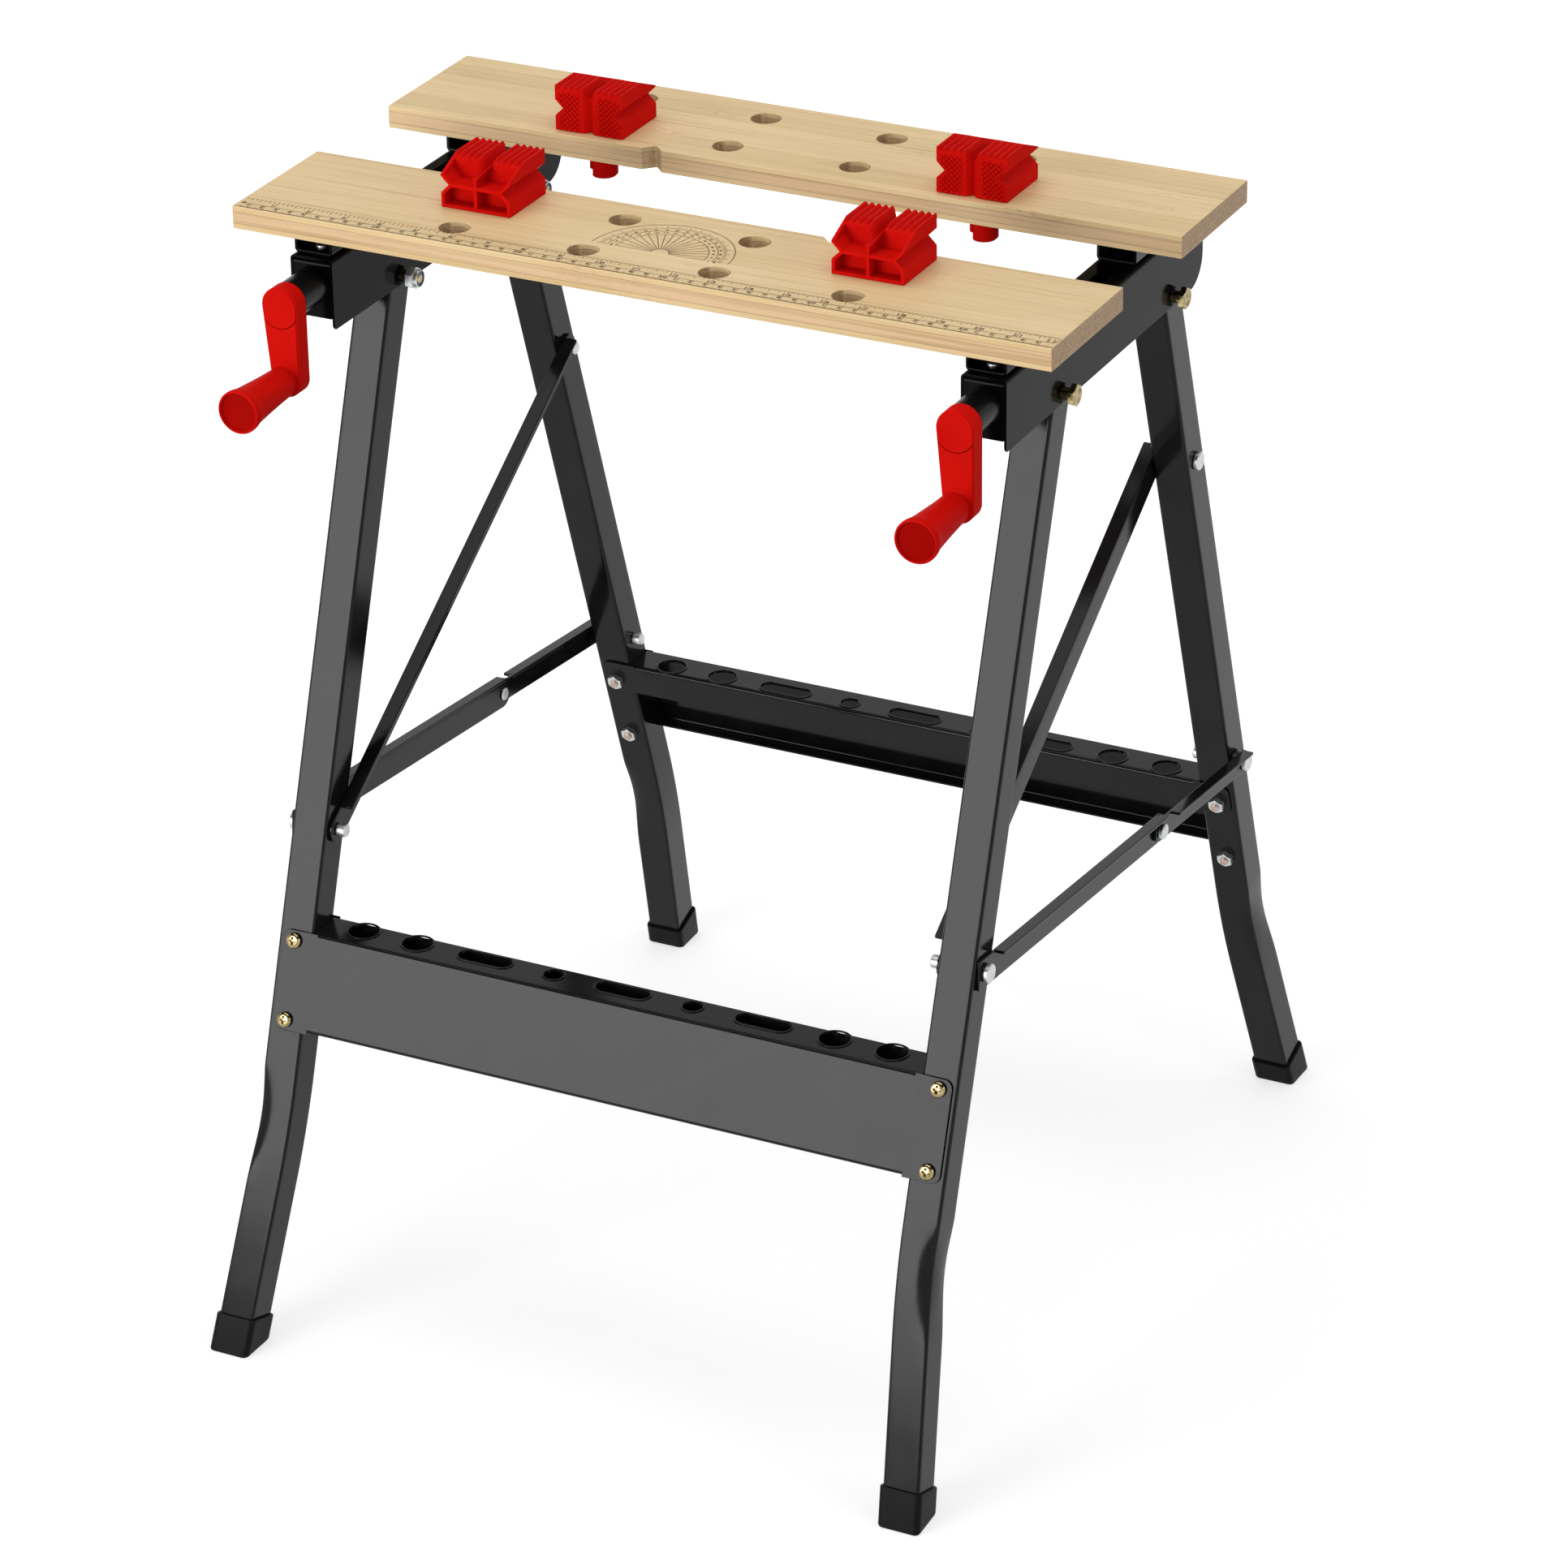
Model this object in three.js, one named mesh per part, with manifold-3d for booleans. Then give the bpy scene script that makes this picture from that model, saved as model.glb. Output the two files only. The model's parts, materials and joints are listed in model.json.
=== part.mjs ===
// Folding workbench with two clamping jaws, in millimetres with +Z up.
// The origin lies on the floor midway between the feet. +X runs along the jaws and the user stands at -Y.

import * as THREE from 'three';
import { mergeVertices } from 'three/addons/utils/BufferGeometryUtils.js';
import Module from 'manifold-3d';

const wasm = await Module();
wasm.setup();

// Driving dimensions: the whole bench
const benchHeight = 753;
const runningGap = 0.3;
const cutMargin = 2;
const roundSegments = 16;
const smallSegments = 8;
const cornerSegments = 4;

// Jaw boards
const jawLength = 560;
const jawWidth = 106;
const jawThickness = 15;
const jawGap = 91;
const jawFrontEdge = -186;
const closedGap = 1;
const openTravel = 10;
const dogHoleDiameter = 20;
const dogHoleSpacing = 90;
const dogHolesPerRow = 4;
const dogRowInset = 25.4;
const notchDepth = 7.2;
const notchOffset = 87;

// Rails, end brackets and jaw seats
const railInset = 49;
const railWidth = 30;
const railHeight = 47;
const railSheet = 1.5;
const railBend = 3;
const railFrontInset = 11;
const railRearOverhang = 11;
const railTailRadius = 20;
const bracketHeight = 38;
const bracketSheet = 2;
const bracketFlange = 14;
const seatHeight = 15.5;
const seatWidth = 27;
const seatLength = 60;
const seatWall = 2;
const seatInnerRadius = 1;
const seatSetback = 3.5;
const travellerSetback = 12.5;

// Clamping spindles, cranks and grips
const spindleDepth = 18.5;
const spindleDiameter = 12;
const collarDiameter = 24;
const collarLength = 28;
const ringDiameter = 18;
const ringLength = 4;
const stubDiameter = 10;
const stubLength = 10;
const spindleTail = 20;
const nutLength = 20;
const nutSize = 20;
const nutSetback = 24;
const neckWidth = 9;
const neckLength = 16;
const crankThrow = 50;
const crankThickness = 13;
const crankBossDiameter = 25;
const crankToeDiameter = 20.4;
const elbowLength = 1;
const gripPinDiameter = 8;
const gripPinLength = 44;
const gripDiameter = 20.4;
const gripEndDiameter = 28.6;
const gripLength = 53;
const gripRim = 4;
const gripFlare = 10;
const gripFlareDiameter = 26;
const gripEdge = 1;

// Legs and foot caps
const pivotSpacing = 172;
const pivotRise = 4.5;
const legTilt = THREE.MathUtils.degToRad(18.6);
const legSize = 25;
const legWall = 1.5;
const legCorner = 2.2;
const legHead = 9;
const bendHeight = 145;
const bendLength = 70;
const footSplay = 13;
const capHeight = 32;
const capWall = 1.7;
const capSole = 4;

// Trays
const trayDistance = 431.3;
const trayHeight = 67;
const trayOverhang = 9;
const traySheet = 1.2;
const trayCorner = 6;
const trayFlange = 26;
const trayLip = 12;
const trayHoleSetback = 3;
const trayHoleDiameter = 20;
const traySmallDiameter = 13;
const traySlotLength = 38;
const traySlotWidth = 13;
const trayEndInset = 28.2;
const trayEndSpacing = 40;
const trayHoleSteps = 3;
const screwInset = 7;
const screwDiameter = 5;
const screwHeadDiameter = 10.5;
const screwHeadHeight = 3.2;
const screwNutSize = 8;
const screwNutHeight = 4;
const screwTail = 2.5;

// Pivot bolts and nuts
const boltDiameter = 8;
const boltSpacerDiameter = 12;
const boltStandOff = 1.3;
const boltHeadSize = 13;
const boltHeadHeight = 6;
const lockNutHeight = 7;
const lockNutCrown = 2.5;
const boltTail = 1;

// Braces, stays and rivets
const stayDistanceFront = 362.6;
const stayDistanceRear = 407.7;
const braceDistanceRear = 137.7;
const frontLinkLength = 274;
const linkSheet = 2;
const braceHalfHeight = 9;
const frontLinkHalfHeight = 10;
const rearLinkHalfHeight = 7.6;
const linkFlange = 8;
const braceFlange = 10;
const braceFlangeInset = 12;
const frontFlangeInset = 9;
const rearFlangeInset = 18;
const flangeOverrun = 4;
const linkTab = 9;
const rivetDiameter = 6;
const rivetHeadDiameter = 10.4;
const rivetHeadHeight = 3.5;
const rivetTailHeight = 1.6;

// Bench dogs
const dogWidth = 48.5;
const dogFaceReach = 20;
const dogBackReach = 28;
const dogHeight = 30;
const dogTopDepth = 27;
const dogBackHeight = 21.5;
const dogVeeHeight = 15;
const dogVeeDepth = 5.5;
const dogFaceGroove = 4.8;
const dogValleyWidth = 9.4;
const dogValleyFloor = 2.2;
const dogValleyDepth = 8;
const dogPocketWall = 2.2;
const dogPocketDepth = 15;
const dogPegClearance = 0.5;
const dogPegLength = 34;

// Heights and places that follow from them
const jawUnderside = benchHeight - jawThickness;
const railTop = jawUnderside - seatHeight;
const railBottom = railTop - railHeight;
const railFront = jawFrontEdge + railFrontInset;
const frontJawInner = jawFrontEdge + jawWidth;
const rearJawInner = frontJawInner + jawGap;
const railRear = rearJawInner + jawWidth + railRearOverhang;
const railInnerWidth = railWidth - 2 * railSheet;
const railX = jawLength / 2 - railInset;
const spindleHeight = railTop - spindleDepth;
const pivotHeight = railBottom + pivotRise;
const closeTravel = jawGap - closedGap;
const travellerFront = rearJawInner + travellerSetback;
const nutY = travellerFront + nutSetback;
const legReach = pivotHeight / Math.cos(legTilt);

// Pivot points in the side view, as y and z
const frontPivot = new THREE.Vector2(-pivotSpacing / 2, pivotHeight);
const rearPivot = new THREE.Vector2(pivotSpacing / 2, pivotHeight);
const downFront = new THREE.Vector2(-Math.sin(legTilt), -Math.cos(legTilt));
const downRear = new THREE.Vector2(Math.sin(legTilt), -Math.cos(legTilt));
const along = (start, direction, distance) => start.clone().addScaledVector(direction, distance);
const stayFrontPoint = along(frontPivot, downFront, stayDistanceFront);
const stayRearPoint = along(rearPivot, downRear, stayDistanceRear);
const braceRearPoint = along(rearPivot, downRear, braceDistanceRear);
const stayDirection = stayRearPoint.clone().sub(stayFrontPoint).normalize();
const kneePoint = along(stayFrontPoint, stayDirection, frontLinkLength);

// Layers of the side frame, measured outwards from the middle of a leg
const legFace = legSize / 2;
const braceOuterX = -legFace - runningGap;
const braceInnerX = braceOuterX - linkSheet;
const frontLinkInnerX = legFace + runningGap;
const frontLinkOuterX = frontLinkInnerX + linkSheet;
const rearLinkInnerX = frontLinkOuterX + runningGap;
const rearLinkOuterX = rearLinkInnerX + linkSheet;

const finishes = {
  blackSteel: { color: 0x17171a, roughness: 0.35, metalness: 0.4 },
  bamboo: { color: 0xdcc394, roughness: 0.55, metalness: 0 },
  redPlastic: { color: 0xc80f08, roughness: 0.4, metalness: 0 },
  blackRubber: { color: 0x121213, roughness: 0.6, metalness: 0 },
  zincYellow: { color: 0xd9c07c, roughness: 0.3, metalness: 0.9 },
  zincSilver: { color: 0xc9cdd0, roughness: 0.25, metalness: 0.9 },
  spindleSteel: { color: 0x1b1b1d, roughness: 0.4, metalness: 0.7 },
};

const workbench = new THREE.Group();
const sides = [[-1, 'left'], [1, 'right']];

// Closed solids for joining and cutting
function toSolid(geometry) {
  const bare = geometry.clone();
  bare.deleteAttribute('normal');
  bare.deleteAttribute('uv');
  const merged = mergeVertices(bare, 1e-4);
  const corners = merged.index.array;
  const kept = [];
  for (let i = 0; i < corners.length; i += 3) {
    const [a, b, c] = corners.slice(i, i + 3);
    if (a !== b && b !== c && c !== a) {
      kept.push(a, b, c);
    }
  }
  const vertProperties = new Float32Array(merged.attributes.position.array);
  return new wasm.Manifold(new wasm.Mesh({ numProp: 3, vertProperties, triVerts: new Uint32Array(kept) }));
}

const join = (first, ...others) => others.reduce((body, other) => body.add(other), first);
const cut = (body, ...tools) => tools.reduce((rest, tool) => rest.subtract(tool), body);

function addPart(parent, name, finish, solid) {
  const result = solid.getMesh();
  const geometry = new THREE.BufferGeometry();
  geometry.setAttribute('position', new THREE.BufferAttribute(result.vertProperties, 3));
  geometry.setIndex(new THREE.BufferAttribute(result.triVerts, 1));
  geometry.computeVertexNormals();
  const mesh = new THREE.Mesh(geometry, new THREE.MeshStandardMaterial(finishes[finish]));
  mesh.name = name;
  parent.add(mesh);
  return mesh;
}

function placed(parent, x, y, z) {
  const group = new THREE.Group();
  group.position.set(x, y, z);
  parent.add(group);
  return group;
}

// Basic forms
function box(x0, x1, y0, y1, z0, z1) {
  const geometry = new THREE.BoxGeometry(x1 - x0, y1 - y0, z1 - z0);
  geometry.translate((x0 + x1) / 2, (y0 + y1) / 2, (z0 + z1) / 2);
  return toSolid(geometry);
}

function polygon(points) {
  return new THREE.Shape(points.map(([x, y]) => new THREE.Vector2(x, y)));
}

function extrude(shape, depth, segments = roundSegments) {
  return new THREE.ExtrudeGeometry(shape, { depth, bevelEnabled: false, curveSegments: segments / 2 });
}

const axisX = new THREE.Vector3(1, 0, 0);
const axisY = new THREE.Vector3(0, 1, 0);
const axisZ = new THREE.Vector3(0, 0, 1);

// A shape drawn in y and z, swept along x
function sweepX(shape, x0, x1, segments) {
  const geometry = extrude(shape, x1 - x0, segments);
  geometry.applyMatrix4(new THREE.Matrix4().makeBasis(axisY, axisZ, axisX));
  geometry.translate(x0, 0, 0);
  return toSolid(geometry);
}

// A shape drawn in x and z, swept along y
function sweepY(shape, y0, y1, segments) {
  const geometry = extrude(shape, y1 - y0, segments);
  geometry.applyMatrix4(new THREE.Matrix4().makeBasis(axisX, axisZ, axisY.clone().negate()));
  geometry.translate(0, y1, 0);
  return toSolid(geometry);
}

// A shape drawn in x and y, swept along z
function sweepZ(shape, z0, z1, segments) {
  const geometry = extrude(shape, z1 - z0, segments);
  geometry.translate(0, 0, z0);
  return toSolid(geometry);
}

// A round body about the y axis from [radius, y] pairs listed with y rising along the outside
function turned(profile, segments = roundSegments) {
  return new THREE.LatheGeometry(profile.map(([r, y]) => new THREE.Vector2(r, y)), segments);
}

// The same body laid along x, pointing outwards on its side
function turnedX(profile, side, segments) {
  return toSolid(turned(profile, segments).rotateZ(-side * Math.PI / 2));
}

const rod = (radius, y0, y1, segments) => turned([[0, y0], [radius, y0], [radius, y1], [0, y1]], segments);
const rodX = (radius, x0, x1, segments) => toSolid(rod(radius, x0, x1, segments).rotateZ(-Math.PI / 2));
const rodY = (radius, y0, y1, segments) => toSolid(rod(radius, y0, y1, segments));
const rodZ = (radius, z0, z1, segments) => toSolid(rod(radius, z0, z1, segments).rotateX(Math.PI / 2));

// Radius of a few-sided hole whose flats keep the running gap round a pin of that diameter
const boreRadius = (diameter) => (diameter / 2 + runningGap) / Math.cos(Math.PI / smallSegments);

function hexagon(acrossFlats, length) {
  const radius = acrossFlats / Math.sqrt(3);
  return new THREE.CylinderGeometry(radius, radius, length, 6);
}

function circleHole(shape, x, y, diameter) {
  shape.holes.push(new THREE.Path().absarc(x, y, diameter / 2, 0, 2 * Math.PI, true));
}

function roundedBox(width, height, radius, centreY = 0) {
  const right = width / 2 - radius;
  const top = centreY + height / 2 - radius;
  const bottom = centreY - height / 2 + radius;
  const shape = new THREE.Shape();
  shape.absarc(right, bottom, radius, -Math.PI / 2, 0);
  shape.absarc(right, top, radius, 0, Math.PI / 2);
  shape.absarc(-right, top, radius, Math.PI / 2, Math.PI);
  shape.absarc(-right, bottom, radius, Math.PI, 1.5 * Math.PI);
  return shape;
}

// Jaw boards: the rear one is the front one turned half round
function jawBoard() {
  const half = jawLength / 2;
  const inner = jawWidth / 2;
  const board = polygon([
    [-half, -inner],
    [half, -inner],
    [half, inner],
    [notchOffset + notchDepth, inner],
    [notchOffset, inner - notchDepth],
    [notchOffset - notchDepth, inner],
    [-half, inner],
  ]);
  for (const row of [-1, 1]) {
    for (let i = 0; i < dogHolesPerRow; i += 1) {
      const x = (i - (dogHolesPerRow - 1) / 2) * dogHoleSpacing;
      circleHole(board, x, row * (inner - dogRowInset), dogHoleDiameter);
    }
  }
  return sweepZ(board, -jawThickness, 0);
}

const frontJaw = placed(workbench, 0, jawFrontEdge + jawWidth / 2, benchHeight);
addPart(frontJaw, 'front_jaw', 'bamboo', jawBoard());
const rearJaw = placed(workbench, 0, rearJawInner + jawWidth / 2, benchHeight);
rearJaw.rotation.z = Math.PI;
addPart(rearJaw, 'rear_jaw', 'bamboo', jawBoard());

// Rails: pressed channels, open below, with a slot above for the traveller's neck
function rail() {
  const half = railWidth / 2;
  const inside = railInnerWidth / 2;
  const roof = railTop - railSheet;
  const section = new THREE.Shape();
  section.moveTo(-half, railBottom);
  section.lineTo(-inside, railBottom);
  section.lineTo(-inside, roof);
  section.lineTo(inside, roof);
  section.lineTo(inside, railBottom);
  section.lineTo(half, railBottom);
  section.absarc(half - railBend, railTop - railBend, railBend, 0, Math.PI / 2);
  section.absarc(-half + railBend, railTop - railBend, railBend, Math.PI / 2, Math.PI);
  const tail = new THREE.Shape();
  tail.moveTo(railRear - railTailRadius, railBottom - cutMargin);
  tail.lineTo(railRear + cutMargin, railBottom - cutMargin);
  tail.lineTo(railRear + cutMargin, railBottom + railTailRadius);
  tail.lineTo(railRear, railBottom + railTailRadius);
  tail.absarc(railRear - railTailRadius, railBottom + railTailRadius, railTailRadius, 0, -Math.PI / 2, true);
  const slotStart = nutY - closeTravel - neckLength / 2 - cutMargin;
  const slotEnd = nutY + openTravel + neckLength / 2 + cutMargin;
  const slotHalf = neckWidth / 2 + runningGap;
  const slot = box(-slotHalf, slotHalf, slotStart, slotEnd, roof - cutMargin, railTop + cutMargin);
  const across = [-half - cutMargin, half + cutMargin];
  const bolts = [frontPivot, rearPivot].map((pivot) =>
    rodX(boreRadius(boltDiameter), ...across, smallSegments).translate([0, pivot.x, pivot.y]));
  const channel = sweepY(section, railFront, railRear, cornerSegments);
  return cut(channel, sweepX(tail, ...across, smallSegments), slot, ...bolts);
}

// End bracket: a plate across the mouth of the rail, bent back under its top
function endBracket() {
  const half = railInnerWidth / 2 - runningGap;
  const top = railTop - railSheet - runningGap;
  const plate = box(-half, half, railFront, railFront + bracketSheet, top - bracketHeight, top);
  const flange = box(-half, half, railFront, railFront + bracketFlange, top - bracketSheet, top);
  const bore = rodY(spindleDiameter / 2 + runningGap, railFront - cutMargin, railFront + bracketFlange);
  return cut(join(plate, flange), bore.translate([0, 0, spindleHeight]));
}

// Jaw seat: a short length of tube between a rail and a board
function seatTube(front) {
  const height = seatHeight - 2 * runningGap;
  const middle = railTop + seatHeight / 2;
  const section = roundedBox(seatWidth, height, seatWall + seatInnerRadius, middle);
  section.holes.push(roundedBox(seatWidth - 2 * seatWall, height - 2 * seatWall, seatInnerRadius, middle));
  return sweepY(section, front, front + seatLength, cornerSegments);
}

// Traveller: a seat with a neck through the rail's slot and a nut on the spindle
function traveller() {
  const halfNut = nutSize / 2;
  const neckTop = railTop + runningGap + seatWall / 2;
  const nutBody = box(-halfNut, halfNut, nutY - nutLength / 2, nutY + nutLength / 2,
    spindleHeight - spindleDiameter / 2 - seatWall, spindleHeight + halfNut);
  const neck = box(-neckWidth / 2, neckWidth / 2, nutY - neckLength / 2, nutY + neckLength / 2,
    spindleHeight, neckTop);
  const thread = rodY(spindleDiameter / 2 + runningGap, nutY - nutLength, nutY + nutLength);
  return cut(join(seatTube(travellerFront), neck, nutBody), thread.translate([0, 0, spindleHeight]));
}

// Spindle: crank stub, collar in front of the bracket, retaining ring behind it and the screw
function spindle() {
  const collarBack = railFront - runningGap;
  const collarFront = collarBack - collarLength;
  const ringFront = railFront + bracketFlange + runningGap;
  const screw = spindleDiameter / 2;
  return toSolid(turned([
    [0, collarFront - stubLength],
    [stubDiameter / 2, collarFront - stubLength],
    [stubDiameter / 2, collarFront],
    [collarDiameter / 2, collarFront],
    [collarDiameter / 2, collarBack],
    [screw, collarBack],
    [screw, ringFront],
    [ringDiameter / 2, ringFront],
    [ringDiameter / 2, ringFront + ringLength],
    [screw, ringFront + ringLength],
    [screw, nutY + spindleTail],
    [0, nutY + spindleTail],
  ]));
}

const crankBack = railFront - runningGap - collarLength - runningGap;
const crankFront = crankBack - crankThickness;
const gripFront = crankFront - elbowLength - runningGap;

// Crank: an arm that tapers on one edge, a short elbow and the pin that carries the grip
function crank() {
  const boss = crankBossDiameter / 2;
  const toe = crankToeDiameter / 2;
  const toeX = boss - toe;
  const reach = Math.hypot(toeX, crankThrow);
  const taper = Math.atan2(toeX, crankThrow) + Math.asin((boss - toe) / reach);
  const outline = new THREE.Shape();
  outline.absarc(0, 0, boss, 0, Math.PI + taper);
  outline.absarc(toeX, -crankThrow, toe, Math.PI + taper, 2 * Math.PI);
  const arm = sweepY(outline, crankFront, crankBack);
  const elbow = rodY(toe, crankFront - elbowLength, crankBack - crankThickness / 2);
  const pin = rodY(gripPinDiameter / 2, gripFront - gripPinLength, crankBack - crankThickness / 2, smallSegments);
  const socket = rodY(stubDiameter / 2 + runningGap, crankBack - stubLength - runningGap, crankBack + cutMargin);
  return cut(join(arm, elbow.translate([0, 0, -crankThrow]), pin.translate([0, 0, -crankThrow])), socket);
}

// Grip: a sleeve that flares to a rimmed end, bored for its pin
function grip() {
  const end = gripFront - gripLength;
  const bore = gripPinDiameter / 2 + runningGap;
  const boreEnd = gripFront - gripPinLength - runningGap;
  return toSolid(turned([
    [0, end],
    [gripEndDiameter / 2 - gripEdge, end],
    [gripEndDiameter / 2, end + gripEdge],
    [gripEndDiameter / 2, end + gripRim],
    [gripFlareDiameter / 2, end + gripFlare],
    [gripDiameter / 2, gripFront],
    [bore, gripFront],
    [bore, boreEnd],
    [0, boreEnd],
  ]));
}

for (const [side, hand] of sides) {
  const railFrame = placed(workbench, side * railX, 0, 0);
  addPart(railFrame, `${hand}_rail`, 'blackSteel', rail());
  addPart(railFrame, `${hand}_end_bracket`, 'blackSteel', endBracket());
  addPart(railFrame, `${hand}_jaw_seat`, 'blackSteel', seatTube(railFront + seatSetback));
  addPart(railFrame, `${hand}_traveller`, 'blackSteel', traveller());
  const driveFrame = placed(railFrame, 0, 0, spindleHeight);
  addPart(driveFrame, `${hand}_spindle`, 'spindleSteel', spindle());
  addPart(driveFrame, `${hand}_crank`, 'redPlastic', crank());
  const gripFrame = placed(driveFrame, 0, 0, -crankThrow);
  addPart(gripFrame, `${hand}_grip`, 'redPlastic', grip());
}

// Pivot bolt with its spacer, and the lock nut on the inner face of the rail
const boltFace = railWidth / 2 + runningGap;
const nutFace = boltFace + boltStandOff;

function pivotBolt(side) {
  const head = toSolid(hexagon(boltHeadSize, boltHeadHeight)
    .translate(0, boltFace + boltStandOff + boltHeadHeight / 2, 0)
    .rotateZ(-side * Math.PI / 2));
  const tail = -nutFace - lockNutHeight - lockNutCrown - boltTail;
  const shank = turnedX([
    [0, tail],
    [boltDiameter / 2, tail],
    [boltDiameter / 2, boltFace],
    [boltSpacerDiameter / 2, boltFace],
    [boltSpacerDiameter / 2, boltFace + boltStandOff + boltHeadHeight / 2],
    [0, boltFace + boltStandOff + boltHeadHeight / 2],
  ], side, smallSegments);
  return join(shank, head);
}

function lockNut(side) {
  const body = toSolid(hexagon(boltHeadSize, lockNutHeight)
    .translate(0, -nutFace - lockNutHeight / 2, 0)
    .rotateZ(-side * Math.PI / 2));
  const crown = turnedX([
    [0, -nutFace - lockNutHeight - lockNutCrown],
    [boltHeadSize * 0.42, -nutFace - lockNutHeight - lockNutCrown],
    [boltHeadSize * 0.46, -nutFace - lockNutHeight / 2],
    [0, -nutFace - lockNutHeight / 2],
  ], side);
  const reach = nutFace + lockNutHeight + lockNutCrown + cutMargin;
  return cut(join(body, crown), rodX(boreRadius(boltDiameter), -reach, reach, smallSegments));
}

for (const [side, hand] of sides) {
  for (const [end, pivot] of [['front', frontPivot], ['rear', rearPivot]]) {
    const pivotFrame = placed(workbench, side * railX, pivot.x, pivot.y);
    addPart(pivotFrame, `${hand}_${end}_pivot_bolt`, 'zincYellow', pivotBolt(side));
    addPart(pivotFrame, `${hand}_${end}_lock_nut`, 'zincSilver', lockNut(side));
  }
}

// Legs, in a frame that hangs from the pivot with z along the tube and -y towards the outside of the bench
const bendStart = (pivotHeight - bendHeight - bendLength / 2) / Math.cos(legTilt);
const bendSpan = bendLength / Math.cos(legTilt);
const splaySlope = footSplay / (legReach - bendStart - bendSpan / 2);

function splayAt(distance) {
  const past = distance - bendStart;
  if (past <= 0) {
    return 0;
  }
  if (past < bendSpan) {
    return splaySlope * past * past / (2 * bendSpan);
  }
  return splaySlope * (past - bendSpan / 2);
}

// A square ring round the leg's middle line: x and y offsets with rounded corners
function squareRing(half, radius) {
  const ring = [];
  for (let corner = 0; corner < 4; corner += 1) {
    const middle = (corner + 0.5) * Math.PI / 2;
    const centreX = Math.sign(Math.cos(middle)) * (half - radius);
    const centreY = Math.sign(Math.sin(middle)) * (half - radius);
    for (const turn of [-1, 1]) {
      const angle = middle + turn * Math.PI / 4;
      ring.push([centreX + radius * Math.cos(angle), centreY + radius * Math.sin(angle)]);
    }
  }
  return ring;
}

// A body through rings set square along the leg; the last one is level at the given height
function legLoft(side, half, radius, distances, lastHeight) {
  const ring = squareRing(half, radius);
  const level = (pivotHeight - lastHeight) / Math.cos(legTilt);
  const vertices = [];
  for (const distance of [...distances, null]) {
    for (const [x, y] of ring) {
      const s = distance === null ? level - y * Math.tan(legTilt) : distance;
      vertices.push(x + side * splayAt(s), y, -s);
    }
  }
  const count = ring.length;
  const last = distances.length * count;
  const faces = [];
  for (let level0 = 0; level0 < last; level0 += count) {
    for (let i = 0; i < count; i += 1) {
      const next = (i + 1) % count;
      faces.push(level0 + i, level0 + count + i, level0 + next);
      faces.push(level0 + next, level0 + count + i, level0 + count + next);
    }
  }
  for (let i = 1; i < count - 1; i += 1) {
    faces.push(0, i, i + 1);
    faces.push(last, last + i + 1, last + i);
  }
  const geometry = new THREE.BufferGeometry();
  geometry.setAttribute('position', new THREE.Float32BufferAttribute(vertices, 3));
  geometry.setIndex(faces);
  return toSolid(geometry);
}

const bendStations = [0, 0.5, 1].map((share) => bendStart + share * bendSpan);
const screwDistances = [trayDistance + screwInset, trayDistance + trayHeight - screwInset];
const capTop = legReach - capHeight;

function leg(side, pivots) {
  const outer = legLoft(side, legSize / 2, legCorner, [-legHead, ...bendStations], capSole + runningGap);
  const hollow = legLoft(side, legSize / 2 - legWall, legCorner - legWall,
    [-legHead - cutMargin, ...bendStations], capSole + runningGap - cutMargin);
  const reach = legSize / 2 + cutMargin;
  const crossHoles = pivots.map(([distance, diameter]) =>
    rodX(boreRadius(diameter), -reach, reach, smallSegments).translate([0, 0, -distance]));
  const screwHoles = screwDistances.map((distance) =>
    rodY(boreRadius(screwDiameter), -reach, reach, smallSegments).translate([0, 0, -distance]));
  return cut(outer, hollow, ...crossHoles, ...screwHoles);
}

function footCap(side) {
  const fit = legSize / 2 + runningGap;
  const shell = legLoft(side, fit + capWall, legCorner + capWall, [capTop], 0);
  const socket = legLoft(side, fit, legCorner, [capTop - cutMargin], capSole);
  return cut(shell, socket);
}

// Tray: a panel on the outside of the legs, a level shelf between them with tool holes,
// a flange on the inside of the legs and a lip along the panel's lower edge
const trayFace = legSize / 2 + runningGap;
const shelfHalf = railX - legSize / 2 - runningGap;
const trayWidth = 2 * (railX + trayOverhang);

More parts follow.
